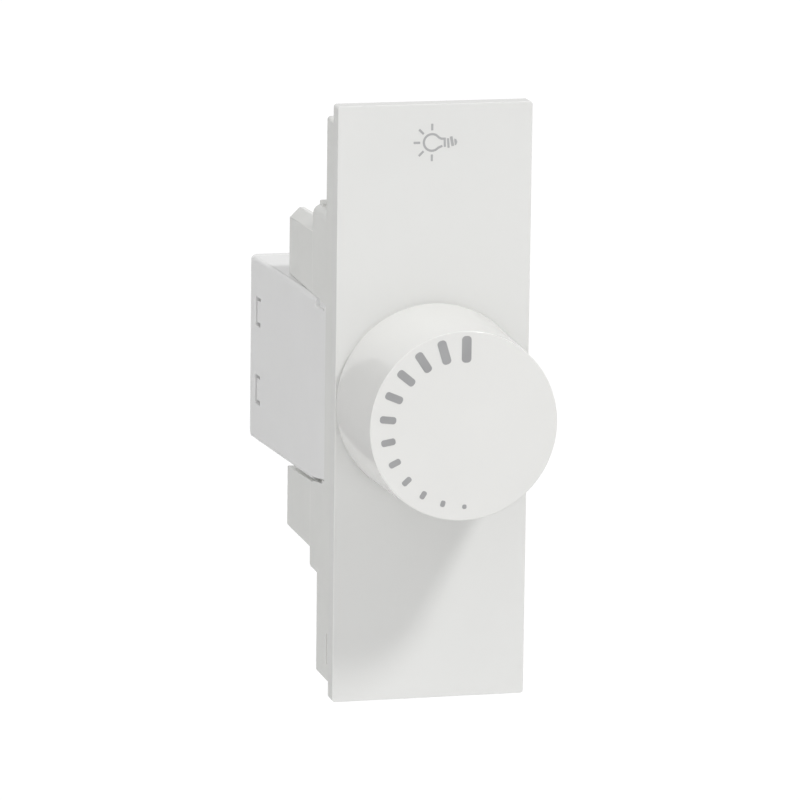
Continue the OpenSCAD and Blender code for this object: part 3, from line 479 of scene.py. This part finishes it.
finishes.update({name: metalMaterial(name, *values) for name, values in metals.items()})
print("materials made:", len(finishes))


# Cover plate: a flat box with a round front edge, a low round pad under the knob, the shaft's hole and two
# hooks behind it
plate = {"corner": 0.35, "frontEdge": 0.08, "backEdge": 0.1, "thickness": 2.2, "shaftHole": 4.0,
         "padRadius": 10.93, "padRise": 0.42, "hookWidth": 8.0, "hookThickness": 1.2, "hookEdge": 0.12,
         "hookGap": 0.1, "hookRoot": -0.3, "notchBack": 0.6, "barb": 0.5, "tipBarb": 0.1, "tipLength": 0.35}


def makeCoverPlate():
    lo, hi = boxOf("cover_plate")
    front, tip = lo[1], hi[1]
    depth, inset = roundEnds(front, front + plate["thickness"], plate["frontEdge"], plate["backEdge"])
    corner = plate["corner"] - inset
    slab = ringBox(depth, hi[0] - inset, lo[2] + inset, hi[2] - inset, corner, corner, 8)
    piece = solid("coverPlate", [slab])
    steps = [("UNION", rod((0, axisZ), plate["padRadius"], 1, front - plate["padRise"], front + into, 128)),
             ("DIFFERENCE", rod((0, axisZ), plate["shaftHole"], 1, front - past, past, 96))]
    carrierLow, carrierHigh = boxOf("carrier_frame")
    rim = carrier["wall"] + plate["hookGap"]
    root, notch, wide = plate["hookRoot"], plate["notchBack"], plate["hookWidth"] / 2
    for edge, out in ((carrierHigh[2] - rim, 1), (carrierLow[2] + rim, -1)):
        inner, barb = edge - out * plate["hookThickness"], edge + out * plate["barb"]
        hook = [[root, inner], [tip, inner], [tip, edge + out * plate["tipBarb"]],
                [tip - plate["tipLength"], barb], [notch, barb], [notch, edge], [root, edge]]
        steps.append(("UNION", drawn(roundedOutline(hook[::out], plate["hookEdge"], 3), 0, [-wide, wide])))
    carve(piece, steps)
    smoothShade(piece)
    place(piece, "housing", "cover_plate", "plate_white")


# Lamp symbol: a thin layer of ink on the plate. Its arc is in degrees; the rays, the bars and the tip are in
# bulb radii from the bulb's centre, and a bar's third value is its thickness in lines.
lamp = {"left": 0.4, "drop": 4.3, "bulb": 0.93, "line": 0.25, "corner": 0.05, "proud": 0.015, "sunk": 0.02,
        "arc": (38, 318), "rayTurns": (90, 135, 180, 225, 270), "ray": (1.45, 2.26),
        "bars": [((0.72, 0.66), (1.1, 0.43), 1.0), ((1.04, 0.43), (1.6, 0.4), 1.0),
                 ((0.68, -0.7), (1.28, -0.44), 1.0), ((1.55, 0.54), (1.58, -0.58), 1.0),
                 ((1.95, 0.45), (2.05, -0.7), 1.0), ((2.34, 0.66), (2.56, -0.5), 1.25)],
        "tip": [(2.72, 0.42), (2.98, 0.3), (3.12, -0.04), (2.98, -0.36), (2.8, -0.46)]}


def makeLampSymbol():
    lo, hi = boxOf("cover_plate")
    centre = np.array([-lamp["left"], hi[2] - lamp["drop"]])
    bulb, line, corner = lamp["bulb"], lamp["line"], lamp["corner"]
    arc = np.radians(np.linspace(*lamp["arc"], 49))
    ring = np.stack([np.cos(arc), np.sin(arc)], 1)
    outlines = [np.concatenate([ring * (bulb + line / 2), ring[::-1] * (bulb - line / 2)])]
    outlines.append(roundedOutline(np.array(lamp["tip"]) * bulb, corner, 3))
    ways = [np.array([math.cos(turn), math.sin(turn)]) for turn in np.radians(lamp["rayTurns"])]
    near, far = lamp["ray"]
    # A bar = its two ends, each moved across by half its thickness both ways
    for start, end, thick in lamp["bars"] + [(way * near, way * far, 1.0) for way in ways]:
        start, end = np.asarray(start) * bulb, np.asarray(end) * bulb
        along = (end - start) / np.linalg.norm(end - start)
        across = np.array([-along[1], along[0]]) * thick * line / 2
        corners = [start - across, end - across, end + across, start + across]
        outlines.append(roundedOutline(corners, corner, 3))
    depths = [lo[1] - lamp["proud"], lo[1] + lamp["sunk"]]
    shells = [drawn(centre + outline, 1, depths) for outline in outlines]
    piece = solid("lampSymbol", shells[:1])
    carve(piece, [("UNION", part) for part in shells[1:]])
    piece.data.shade_flat()
    place(piece, "housing", "lamp_symbol", "mark_grey", "lamp_grey")


# Knob: a profile turned about the shaft's axis, hollow behind, with a hub and six ribs
knob = {"faceSunk": 0.02, "edge": 0.1, "draft": 0.5, "baseEdge": 0.06, "baseDrop": 0.15, "lip": 0.12,
        "lipDepth": 0.5, "wall": 1.5, "roof": 1.8, "fillet": 0.4, "hubRadius": 4.85, "hubRecess": 0.5,
        "hubEdge": 0.2, "bore": 3.05, "boreEdge": 0.15, "boreFlat": 1.55, "boreRoof": 1.2, "ribCount": 6,
        "ribWidth": 1.0, "ribFront": 4.0, "sides": 192}


# A corner of the profile eased by three points: one on each side, and one at 0.3 of both distances
def easedCorner(radius, depth, across, along):
    shares = np.array([[0, 1], [0.3, 0.3], [1, 0]])
    return np.array([radius, depth]) + shares * [across, along]


def makeKnob():
    lo, hi = boxOf("knob")
    face, base = lo[1] + knob["faceSunk"], hi[1] + knob["baseDrop"]
    foot, step = knob["baseEdge"], base - knob["lipDepth"]
    radius = hi[0] - knob["draft"]
    inner, lip = radius - knob["wall"], hi[0] - knob["lip"]
    roof, hubEnd = face + knob["roof"], hi[1] - knob["hubRecess"]
    hub, bore = knob["hubRadius"], knob["bore"]
    edge, fillet, hubEdge, boreEdge = [knob[key] for key in ("edge", "fillet", "hubEdge", "boreEdge")]
    turn = np.linspace(0, np.pi / 2, 9)
    profile = np.concatenate([
        np.stack([radius - edge * (1 - np.sin(turn)), face + edge * (1 - np.cos(turn))], 1),
        np.stack([hi[0] - foot * (1 - np.cos(turn)), base - foot * (1 - np.sin(turn))], 1),
        [[lip, base], [lip, step], [inner + knob["draft"], step]],
        easedCorner(inner, roof, -fillet, fillet),
        easedCorner(hub, roof, fillet, fillet)[::-1],
        easedCorner(hub, hubEnd, -hubEdge, -hubEdge),
        [[bore + boreEdge, hubEnd], [bore, hubEnd - boreEdge], [bore, roof + knob["boreRoof"]]]])
    # The bore's two rings have a flat below: there a radius is at most the flat's distance / -sine
    spin = np.arange(knob["sides"]) * 2 * np.pi / knob["sides"]
    below = np.maximum(-np.sin(spin), 0.05)  # kept above nought
    radii = np.repeat(profile[:, :1], knob["sides"], 1)
    radii[-2:] = np.minimum(radii[-2:], knob["boreFlat"] / below)
    piece = solid("knobBody", [turned(radii, profile[:, 1], axisZ)])
    steps = []
    for number in range(knob["ribCount"]):
        angle = (number + 0.5) * 2 * math.pi / knob["ribCount"]
        way = np.array([math.cos(angle), math.sin(angle)])
        across = np.array([-way[1], way[0]]) * knob["ribWidth"] / 2
        near, far = way * (hub - into), way * (inner + into)
        outline = np.array([near - across, far - across, far + across, near + across]) + [0, axisZ]
        steps.append(("UNION", drawn(outline, 1, [roof - into, hubEnd - knob["ribFront"]])))
    carve(piece, steps)
    smoothShade(piece, 40)
    place(piece, "knob", "knob", "knob_white")


# Scale marks: twelve ink bars round the left half of the knob's face, from large to small. A mark's far
# end = rim + rise * cosine of its angle from the top, and the mark is turned on by lag * sine of that angle.
marks = {"count": 12, "long": (2.97, 0.5), "wide": (1.08, 0.48), "margin": 0.92, "rise": 0.39, "lag": 1.6,
         "shift": 0.18, "round": 0.4, "sunk": 0.05}


def makeScale():
    lo, hi = boxOf("knob")
    rim = hi[0] - knob["draft"] - marks["margin"]
    depths = [lo[1], lo[1] + marks["sunk"]]
    shells = []
    for share in np.linspace(0, 1, marks["count"]):
        long, wide = [first + (last - first) * share for first, last in (marks["long"], marks["wide"])]
        far, half = rim + marks["rise"] * math.cos(math.pi * share), wide / 2
        corners = [[far - long, -half], [far, -half], [far, half], [far - long, half]]
        outline = roundedOutline(corners, wide * marks["round"], 8)
        angle = math.pi * (0.5 + share) + math.radians(marks["lag"]) * math.sin(math.pi * share)
        spin = np.array([[math.cos(angle), math.sin(angle)], [-math.sin(angle), math.cos(angle)]])
        shells.append(drawn(outline @ spin + [marks["shift"], axisZ], 1, depths))
    piece = solid("knobScale", shells)
    piece.data.shade_flat()
    place(piece, "knob", "knob_scale", "mark_grey")


# Carrier frame: rounded rectangles from front to back, stepping in at the ends of the two flanges. The latch
# is an outline of depth and height above the shoulder; the step is the lower side of the room for an arm.
carrier = {"upper": 3.5, "lower": 6.4, "flangeCorner": 0.4, "shoulderCorner": 1.1, "edge": 0.03, "wall": 1.5,
           "floor": 1.3, "shoulders": (-21.55, 20.85), "core": 17.0, "bridge": (3.3, 5.3), "rib": 0.6,
           "ribShift": 0.35, "room": (-17.9, 17.2), "recess": 10.05, "armFront": 3.4, "armGap": 0.03,
           "step": [(4.4, 0.95), (4.45, 0.55), (8.9, -0.05), (9.0, -0.25), (22.4, -1.1)],
           "screwHole": 1.35, "bushingHole": 4.1, "groove": (1.3, 1.6), "grooveRise": (2.1, 5.6),
           "grooveSunk": 1.2, "hookHalf": 4.15, "hookFront": 0.5, "hookSunk": 0.5, "latchInset": 0.72,
           "latch": [(8.3, -0.4), (9.7, -0.4), (9.7, 0.45), (9.2, 0.6), (8.3, 0.35)], "latchRound": 0.1}
terminalX, terminalZ = 4.9, (13.85, -14.55)  # places of the four terminals


# The housing's top falls evenly from its rear to the front ends of its arms
def topAt(depth):
    front = boxOf("rear_housing")[0][1]
    end = boxOf("rear_cover")[1]
    return end[2] - housing["topDrop"] * (end[1] - np.asarray(depth, float)) / (end[1] - front)


# Room for one arm beside the frame: its upper side follows the arm, and its lower side first steps into the
# arm's notch and then falls away under it. Where the room ends, the lower side's height is interpolated.
def armRoom(side, front, back):
    foot = boxOf("rear_housing")[0][2]
    tops = topAt([front, back]) + carrier["armGap"]
    depths, rises = np.array(carrier["step"]).T
    inside = (depths > front) & (depths < back)
    outline = [(front, foot + np.interp(front, depths, rises))]
    outline += list(zip(depths[inside], foot + rises[inside]))
    outline += [(back, foot + np.interp(back, depths, rises)), (back, tops[1]), (front, tops[0])]
    return drawn(np.array(outline), 0, sorted((side * carrier["recess"], side * outside)))


def makeCarrier():
    lo, hi = boxOf("carrier_frame")
    half, back = hi[0], hi[1]
    low, high = carrier["shoulders"]
    upper, lower, wall = carrier["upper"], carrier["lower"], carrier["wall"]
    flange, shoulder = carrier["flangeCorner"], carrier["shoulderCorner"]
    piece = solid("carrierFrame", [ringBox(
        [0, upper, upper, lower, lower, back], half,
        [lo[2], lo[2], lo[2], lo[2], low, low], [hi[2], hi[2], high, high, high, high],
        [flange, flange, shoulder, shoulder, shoulder, shoulder],
        [flange, flange, flange, flange, shoulder, shoulder])])
    ridge = roundedOutline(np.array(carrier["latch"]) + [0, high], carrier["latchRound"], 2)
    ridgeHalf = half - carrier["latchInset"]
    pocket, core, rib = half - wall, carrier["core"] / 2, carrier["rib"]
    upperFloor, lowerFloor = upper - carrier["floor"], lower - carrier["floor"]
    ribLow, ribHigh = low + carrier["ribShift"], high + carrier["ribShift"]
    bridge, bridgeBack = carrier["bridge"]
    roomLow, roomHigh = carrier["room"]
    cuts = [
        plainBox((-pocket, -past, ribHigh + rib), (pocket, upperFloor, hi[2] - wall)),
        plainBox((-pocket, -past, lo[2] + wall), (pocket, lowerFloor, ribLow - rib)),
        plainBox((-core, -past, ribLow + rib), (core, bridge, ribHigh - rib)),
        plainBox((-core, bridgeBack, roomLow), (core, back + past, roomHigh)),
        rod((0, axisZ), carrier["bushingHole"], 1, 0, bridgeBack + past),
    ]
    cuts += [rod((0, z), carrier["screwHole"], 1, 0, bridgeBack + past, 32) for z in terminalZ]
    (grooveFront, grooveBack), (grooveLow, grooveHigh) = carrier["groove"], carrier["grooveRise"]
    for side in (-1, 1):
        cuts.append(armRoom(side, carrier["armFront"], back + past))
        near, far = sorted((side * (half - carrier["grooveSunk"]), side * outside))
        cuts.append(plainBox((near, grooveFront, lo[2] + grooveLow), (far, grooveBack, lo[2] + grooveHigh)))
    hookHalf = carrier["hookHalf"]
    for edge, out in ((hi[2] - wall, 1), (lo[2] + wall, -1)):
        near, far = sorted((edge - out * past, edge + out * carrier["hookSunk"]))
        cuts.append(plainBox((-hookHalf, carrier["hookFront"], near), (hookHalf, upperFloor, far)))
    steps = [("UNION", drawn(ridge, 0, [-ridgeHalf, ridgeHalf]))]
    carve(piece, steps + [("DIFFERENCE", cut) for cut in cuts])
    roundOff(piece, carrier["edge"], 3)
    place(piece, "housing", "carrier_frame", "body_white", "frame_white")


# Terminal block: one outline with its cheeks, drawn from the shoulders to the rear, then hollowed. Its upper
# half is lifted, more in front than behind.
block = {"cheek": 1.75, "rise": 0.9, "bevel": 1.15, "corners": [0.1, 0.25, 0.25, 0.2, 0.2, 0.15, 0.1],
         "lift": (0.8, 0.37), "edge": 0.03, "coreZ": (-9.7, 10.0), "coreHalf": 8.5, "roomHalf": (2.85, 2.45),
         "roomFront": 11.2, "barFront": 14.3, "barHalf": 1.6, "barEnd": -0.35, "wireDepth": 13.25,
         "wireRadius": 1.4, "wireReach": 9.0, "coverHalf": 8.3, "coverHeight": 5.2, "coverFront": 18.6,
         "post": 2.6, "screwHole": 1.25, "screwEnd": 14.4, "coverScrew": 1.05, "coverScrewFront": 15.8}


def makeTerminalBlock():
    lo, hi = boxOf("terminal_block")
    front, back = boxOf("carrier_frame")[1][1], hi[1]
    half, inner = hi[0], hi[0] - block["cheek"]
    low, high = lo[2] + block["rise"], hi[2] - block["rise"]
    bevel, corners = block["bevel"], block["corners"]
    right = [[inner, low], [inner, lo[2]], [half, lo[2]], [half, hi[2] - bevel], [half - bevel, hi[2]],
             [inner, hi[2]], [inner, high]]
    left = [[-x, z] for x, z in right[::-1]]
    outline = roundedOutline(right + left, corners + corners[::-1], 4)
    points, faces = drawn(outline, 1, [front, back])
    points[:, 2] += np.where(outline[:, 1] > 0, np.array(block["lift"])[:, None], 0).ravel()
    piece = solid("terminalBlock", [(points, faces)])
    steps = [("UNION", rod((0, z), block["post"], 1, lo[1], front + into, 40)) for z in terminalZ]
    coreLow, coreHigh = block["coreZ"]
    cuts = [plainBox((-block["coreHalf"], 0, coreLow), (block["coreHalf"], back + past, coreHigh))]
    cuts += [armRoom(side, front - into, back + past) for side in (-1, 1)]
    roomX, roomZ = block["roomHalf"]
    bar, lid, tall = block["barHalf"], block["coverHalf"], block["coverHeight"] / 2
    for z, up in zip(terminalZ, (1, -1)):
        for x in (-terminalX, terminalX):
            cuts.append(plainBox((x - roomX, block["roomFront"], z - roomZ),
                                 (x + roomX, back + past, z + roomZ)))
            near, far = sorted((block["barEnd"], z))
            cuts.append(plainBox((x - bar, block["barFront"], near), (x + bar, back + past, far)))
            near, far = sorted((z, z + up * block["wireReach"]))
            cuts.append(rod((x, block["wireDepth"]), block["wireRadius"], 2, near, far, 40))
        cuts.append(plainBox((-lid, block["coverFront"], z - tall), (lid, back + past, z + tall)))
        cuts.append(rod((0, z), block["screwHole"], 1, 0, block["screwEnd"], 32))
        cuts.append(rod((0, z), block["coverScrew"], 1, block["coverScrewFront"], back, 32))
    carve(piece, steps + [("DIFFERENCE", cut) for cut in cuts])
    roundOff(piece, block["edge"])
    place(piece, "housing", "terminal_block", "body_white", "frame_white")


# Rear housing: half its width at a depth = the plate's half width + (depth - flush depth) * tan(flare).
# The notches at the front of its arms are outlines: depth, and height from the arm's upper or lower edge.
housing = {"flushDepth": 7.5, "flare": 4.26, "wall": 1.5, "floor": 1.6, "topCorner": 0.55, "lowCorner": 0.75,
           "roomCorner": 0.3, "topDrop": 0.5, "edge": 0.12, "arm": 10.1, "boxFront": 21.4,
           "notchMiddle": 6.0, "notchSunk": (0.4, 2.0),
           "upperNotch": [(4.5, 1.0), (4.5, -0.9), (7.8, -0.9), (7.8, 1.0)],
           "lowerNotch": [(3.0, -1.0), (9.0, -1.0), (9.0, 0.4), (4.45, 1.0), (3.0, 1.0)],
           "windowDepth": (28.6, 30.6), "windowHeight": 3.4, "windowPitch": 9.2, "shelf": (23.05, 25.0),
           "shelfHeight": 6.0, "shelfIn": 9.63}


def halfWidth(depth):
    plateHalf = boxOf("cover_plate")[1][0]
    slope = math.tan(math.radians(housing["flare"]))
    return plateHalf + (np.asarray(depth, float) - housing["flushDepth"]) * slope


# Box whose side walls flare with the housing, inset by a wall
def flaredBox(depths, low, high, inset, topCorner, lowCorner):
    return ringBox(depths, halfWidth(depths) - inset, low, high, topCorner, lowCorner)


# The middle of the housing's height and the heights of the windows, half a pitch below and above it
def windowHeights():
    lo, hi = boxOf("rear_housing")
    middle = (lo[2] + hi[2]) / 2
    return middle, (middle - housing["windowPitch"] / 2, middle + housing["windowPitch"] / 2)


def makeHousing():
    lo, hi = boxOf("rear_housing")
    ends = [lo[1], hi[1]]
    outer = flaredBox(ends, lo[2], topAt(ends), 0, housing["topCorner"], housing["lowCorner"])
    piece = solid("rearHousing", [outer])
    low, high = lo[2] + housing["floor"], hi[2] - housing["floor"]
    start, arm, wall, corner = [housing[key] for key in ("boxFront", "arm", "wall", "roomCorner")]
    betweenArms = plainBox((-arm, 0, lo[2] - past), (arm, start, hi[2] + past))
    room = flaredBox([start - past, hi[1] + past], low, high, wall, corner, corner)
    steps = [("DIFFERENCE", betweenArms), ("DIFFERENCE", room)]
    notchMiddle = housing["notchMiddle"]
    notches = [(housing["upperNotch"], float(topAt(notchMiddle))), (housing["lowerNotch"], lo[2])]
    middle, windows = windowHeights()
    windowFront, windowBack = housing["windowDepth"]
    shelfFront, shelfBack = housing["shelf"]
    tall, shelf = housing["windowHeight"] / 2, housing["shelfHeight"] / 2
    shelfOut = float(halfWidth(shelfFront)) - wall / 2
    for side in (-1, 1):
        for (notch, edge), sunk in zip(notches, housing["notchSunk"]):
            reach = sorted((side * (float(halfWidth(notchMiddle)) - sunk), side * outside))
            steps.append(("DIFFERENCE", drawn(np.array(notch) + [0, edge], 0, reach)))
        near, far = sorted((side * carrier["recess"], side * outside))
        for z in windows:
            window = plainBox((near, windowFront, z - tall), (far, windowBack, z + tall))
            steps.append(("DIFFERENCE", window))
        near, far = sorted((side * housing["shelfIn"], side * shelfOut))
        ledge = plainBox((near, shelfFront, middle - shelf), (far, shelfBack, middle + shelf))
        steps.append(("UNION", ledge))
    carve(piece, steps)
    roundOff(piece, housing["edge"])
    place(piece, "housing", "rear_housing", "body_white")


# Rear cover: a plate with round upright edges, two tabs inside the housing and four snap noses
cover = {"sideRound": 1.3, "topRound": 0.5, "edge": 0.05, "tabLength": 3.7, "tabThickness": 1.2,
         "tabHeight": 15.0, "tabGap": 0.1, "noseGap": 0.42, "noseFront": 0.06, "noseBack": 30.2,
         "noseRoot": 0.5, "noseSunk": 0.12, "noseTaper": 0.1}


def makeRearCover():
    back = boxOf("rear_cover")[1][1]
    lo, hi = boxOf("rear_housing")
    front = hi[1]
    depths = np.r_[front, back - cover["sideRound"] * (1 - np.sin(np.linspace(0, np.pi / 2, 10)))]

    # Inset of a round edge = radius - root of (radius squared - square of the depth past the round's start)
    def roundInset(radius):
        beyond = np.maximum(depths - (back - radius), 0)
        return radius - np.sqrt(np.maximum(radius ** 2 - beyond ** 2, 0))

    sideIn, topIn = roundInset(cover["sideRound"]), roundInset(cover["topRound"])
    lid = ringBox(depths, halfWidth(depths) - sideIn, lo[2] + topIn, topAt(depths) - topIn,
                  housing["topCorner"], housing["lowCorner"])
    piece = solid("rearCover", [lid])
    middle, windows = windowHeights()
    windowFront = housing["windowDepth"][0]
    tabFront, tabTall = front - cover["tabLength"], cover["tabHeight"] / 2
    tabOut = float(halfWidth(tabFront)) - housing["wall"] - cover["tabGap"]
    noseFront, noseBack = windowFront + cover["noseFront"], cover["noseBack"]
    root, out = tabOut - cover["noseRoot"], float(halfWidth(windowFront)) - cover["noseSunk"]
    nose = np.array([[root, noseFront], [out, noseFront],
                     [out + cover["noseTaper"], noseBack], [root, noseBack]])
    tall = housing["windowHeight"] / 2 - cover["noseGap"]
    steps = []
    for side in (-1, 1):
        near, far = sorted((side * (tabOut - cover["tabThickness"]), side * tabOut))
        tab = plainBox((near, tabFront, middle - tabTall), (far, front + into, middle + tabTall))
        steps.append(("UNION", tab))
        steps += [("UNION", drawn(nose * [side, 1], 2, [z - tall, z + tall])) for z in windows]
    carve(piece, steps)
    roundOff(piece, cover["edge"])
    place(piece, "housing", "rear_cover", "body_white")


# Return spring: radius constant, depth rising slowly in the two end turns and evenly between them
spring = {"wire": 0.45, "turns": 6.0, "endRise": 1.05, "perTurn": 40, "sides": 14}


def makeSpring():
    lo, hi = boxOf("return_spring")
    turns, thick = spring["turns"], spring["wire"]
    radius = (hi[0] - lo[0]) / 2 - thick / 2
    first, last = lo[1] + thick / 2, hi[1] - thick / 2
    rise = thick * spring["endRise"]
    count = int(turns * spring["perTurn"]) + 1
    turn = np.linspace(0, turns, count)
    depth = np.interp(turn, [0, 1, turns - 1, turns], [first, first + rise, last - rise, last])
    angle = 2 * np.pi * turn
    outward = np.stack([np.cos(angle), np.zeros(count), np.sin(angle)], 1)
    path = radius * outward + np.stack([np.zeros(count), depth, np.full(count, axisZ)], 1)
    piece = solid("returnSpring", [wire(path, outward, thick / 2, spring["sides"])])
    smoothShade(piece)
    place(piece, "housing", "return_spring", "spring_steel")
    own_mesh(piece)


# Choke winding: one wire round a ring. At each step the wire's angle round the core's section falls
# while its angle round the ring grows; both ends run straight to the board.
winding = {"wire": 0.5, "gap": 0.1, "section": 1.4, "turns": 9.5, "start": 100.0, "span": 320.0,
           "perTurn": 32, "boardDepth": 21.5, "leadSteps": 8, "sides": 10}


def makeWinding():
    lo, hi = boxOf("choke_core")
    ring = (hi[0] - lo[0]) / 2 - winding["section"]
    reach = winding["section"] + winding["wire"] / 2 + winding["gap"]
    count = int(winding["turns"] * winding["perTurn"]) + 1
    share = np.linspace(0, 1, count)
    across = -2 * np.pi * winding["turns"] * share
    around = np.radians(winding["start"] + winding["span"] * share)
    spoke = np.stack([np.cos(around), np.zeros(count), np.sin(around)], 1)
    outward = np.cos(across)[:, None] * spoke - np.sin(across)[:, None] * np.array([0, 1, 0])
    path = (lo + hi) / 2 + reach * outward + ring * spoke
    steps = winding["leadSteps"]
    run = np.linspace(0, 1, steps, endpoint=False)[:, None]
    firstFoot, lastFoot = [np.array([end[0], winding["boardDepth"], end[2]]) for end in (path[0], path[-1])]
    leadIn = firstFoot + (path[0] - firstFoot) * run
    leadOut = path[-1] + (lastFoot - path[-1]) * (run + 1 / steps)
    path = np.concatenate([leadIn, path, leadOut])
    outward = np.concatenate([np.tile(outward[0], (steps, 1)), outward, np.tile(outward[-1], (steps, 1))])
    piece = solid("chokeWinding", [wire(path, outward, winding["wire"] / 2, winding["sides"])])
    smoothShade(piece)
    place(piece, "housing", "choke_winding", "enamelled_wire")


makeCoverPlate()
makeLampSymbol()
makeKnob()
makeScale()
makeCarrier()
makeTerminalBlock()
makeHousing()
makeRearCover()
makeSpring()
makeWinding()
print("pieces made")


# The other nodes keep their shape: their edges get a fine round and each takes its slot's finish
edgeWidths = {"usual": 0.1, "upper_terminal_cover": 0.15, "lower_terminal_cover": 0.15,
              "circuit_board": 0.05, "carbon_track": 0.02, "wiper_contact": 0.03, "choke_core": 0.0,
              "thermal_fuse": 0.05}
slotOf = {part["node"]: part["material_slot"] for part in frame["record"]["subparts"]}
for name, node in frame["nodes"].items():
    node.data.materials.clear()
    node.data.materials.append(finishes[slotOf[name]])
    if node.hide_render:
        continue
    width = edgeWidths.get(name, edgeWidths["usual"])
    if width:
        softenEdges(node, width, 2, 40, weld=True)
    evenNormals(node)
print("nodes finished")


# Floor, cards, world, lights and camera
view = {"azimuth": -14.25, "elevation": 11.87, "roll": 0.72, "distance": 686.8,
        "target": (-3.683, -2.2, 0.568), "focalPixels": 6163.4, "framePixels": 800, "sensor": 36.0,
        "clipStart": 0.01}
stage = {"floorLevel": -0.12, "floorHalf": 6.0, "floorTone": 0.86, "floorGlow": 0.17,
         "cards": {"darkCard": ((-0.1, 0.12, -0.1), (-0.012, 0.12, 0.043), 0.293),
                   "greyCard": ((-0.06, 0.14, 0.03), (0.14, 0.14, 0.2), 0.72)}}
lights = {"world": 0.05, "sky": 1.0, "key": 1.335, "keyAngle": 8.5, "keyWay": (0.753, -1.0, 1.507),
          "lobes": [((-1, 0, 0), 0.68), ((0, 0, 1), 0.416), ((0, -0.7071, 0.7071), 0.41)]}


# One for the camera's rays and for those that a mirror or glass sends on, nought for the light's
def seenDirectly(tree):
    path = tree.nodes.new("ShaderNodeLightPath")
    onward = maths(tree, "MAXIMUM", path.outputs["Is Glossy Ray"], path.outputs["Is Transmission Ray"])
    return maths(tree, "MAXIMUM", path.outputs["Is Camera Ray"], onward)


# A flat sheet of four corners, with a material that holds only its output
def makeSheet(name, corners):
    mesh = bpy.data.meshes.new(name)
    mesh.from_pydata(corners, [], [[0, 1, 2, 3]])
    sheet = bpy.data.objects.new(name, mesh)
    bpy.context.scene.collection.objects.link(sheet)
    material = bpy.data.materials.new(name)
    material.use_nodes = True
    mesh.materials.append(material)
    tree = material.node_tree
    tree.nodes.clear()
    return sheet, tree, tree.nodes.new("ShaderNodeOutputMaterial").inputs["Surface"]


def makeFloor():
    half, level, tone = stage["floorHalf"], stage["floorLevel"], stage["floorTone"]
    corners = [(x, y, level) for x, y in ((-half, -half), (half, -half), (half, half), (-half, half))]
    floor, tree, surface = makeSheet("floor", corners)
    paper = tree.nodes.new("ShaderNodeBsdfDiffuse")
    paper.inputs["Color"].default_value = (tone, tone, tone, 1)
    glow = tree.nodes.new("ShaderNodeEmission")
    tree.links.new(maths(tree, "MULTIPLY", seenDirectly(tree), stage["floorGlow"]), glow.inputs["Strength"])
    both = tree.nodes.new("ShaderNodeAddShader")
    tree.links.new(paper.outputs[0], both.inputs[0])
    tree.links.new(glow.outputs[0], both.inputs[1])
    tree.links.new(both.outputs[0], surface)


# Cards that only reflections show: a dark one behind the object's left side, a grey one above and behind
def makeCard(name, low, high, glow):
    corners = [low, (high[0], low[1], low[2]), high, (low[0], high[1], high[2])]
    card, tree, surface = makeSheet(name, corners)
    paint = tree.nodes.new("ShaderNodeEmission")
    paint.inputs["Strength"].default_value = glow
    tree.links.new(paint.outputs[0], surface)
    card.visible_camera = False
    card.visible_diffuse = False
    card.visible_transmission = False
    card.visible_shadow = False


# The light that comes from a direction = the same from all round + each lobe's share * its cosine
def makeWorld():
    world = bpy.data.worlds.new("studio")
    world.use_nodes = True
    tree = world.node_tree
    backdrop = next(node for node in tree.nodes if node.type == "BACKGROUND")
    backdrop.inputs["Color"].default_value = (1, 1, 1, 1)
    way = tree.nodes.new("ShaderNodeTexCoord").outputs["Generated"]
    light = lights["world"]
    for toward, share in lights["lobes"]:
        cosine = tree.nodes.new("ShaderNodeVectorMath")
        cosine.operation = "DOT_PRODUCT"
        tree.links.new(way, cosine.inputs[0])
        cosine.inputs[1].default_value = toward
        lobe = maths(tree, "MAXIMUM", cosine.outputs["Value"], 0.0)
        light = maths(tree, "ADD", maths(tree, "MULTIPLY", lobe, share), light)
    seen = seenDirectly(tree)
    hidden = maths(tree, "MULTIPLY", maths(tree, "SUBTRACT", 1.0, seen), light)
    shown = maths(tree, "MULTIPLY", seen, lights["sky"])
    tree.links.new(maths(tree, "ADD", hidden, shown), backdrop.inputs["Strength"])
    bpy.context.scene.world = world


def makeKey():
    key = bpy.data.lights.new("key", "SUN")
    key.energy = lights["key"]
    key.angle = math.radians(lights["keyAngle"])
    sun = bpy.data.objects.new("key", key)
    sun.rotation_euler = Vector(lights["keyWay"]).to_track_quat("Z", "Y").to_euler()
    bpy.context.scene.collection.objects.link(sun)


# The camera's right and up directions turn by the roll about its line of sight
def makeCamera():
    azimuth, elevation, roll = [math.radians(view[key]) for key in ("azimuth", "elevation", "roll")]
    back = Vector((math.sin(azimuth) * math.cos(elevation), -math.cos(azimuth) * math.cos(elevation),
                   math.sin(elevation)))
    right = Vector((math.cos(azimuth), math.sin(azimuth), 0))
    up = back.cross(right)
    across = right * math.cos(roll) + up * math.sin(roll)
    upright = up * math.cos(roll) - right * math.sin(roll)
    camera = bpy.data.cameras.new("camera")
    camera.sensor_width = view["sensor"]
    camera.lens = view["sensor"] * view["focalPixels"] / view["framePixels"]
    camera.clip_start = view["clipStart"]
    eye = bpy.data.objects.new("camera", camera)
    spot = (Vector(view["target"]) + back * view["distance"]) * mm
    turn = Matrix((across, upright, back)).transposed().to_4x4()
    eye.matrix_world = Matrix.Translation(spot) @ turn
    bpy.context.scene.collection.objects.link(eye)
    bpy.context.scene.camera = eye


makeFloor()
for name, values in stage["cards"].items():
    makeCard(name, *values)
makeWorld()
makeKey()
makeCamera()
bpy.context.scene.view_settings.view_transform = "Standard"
print("stage set")
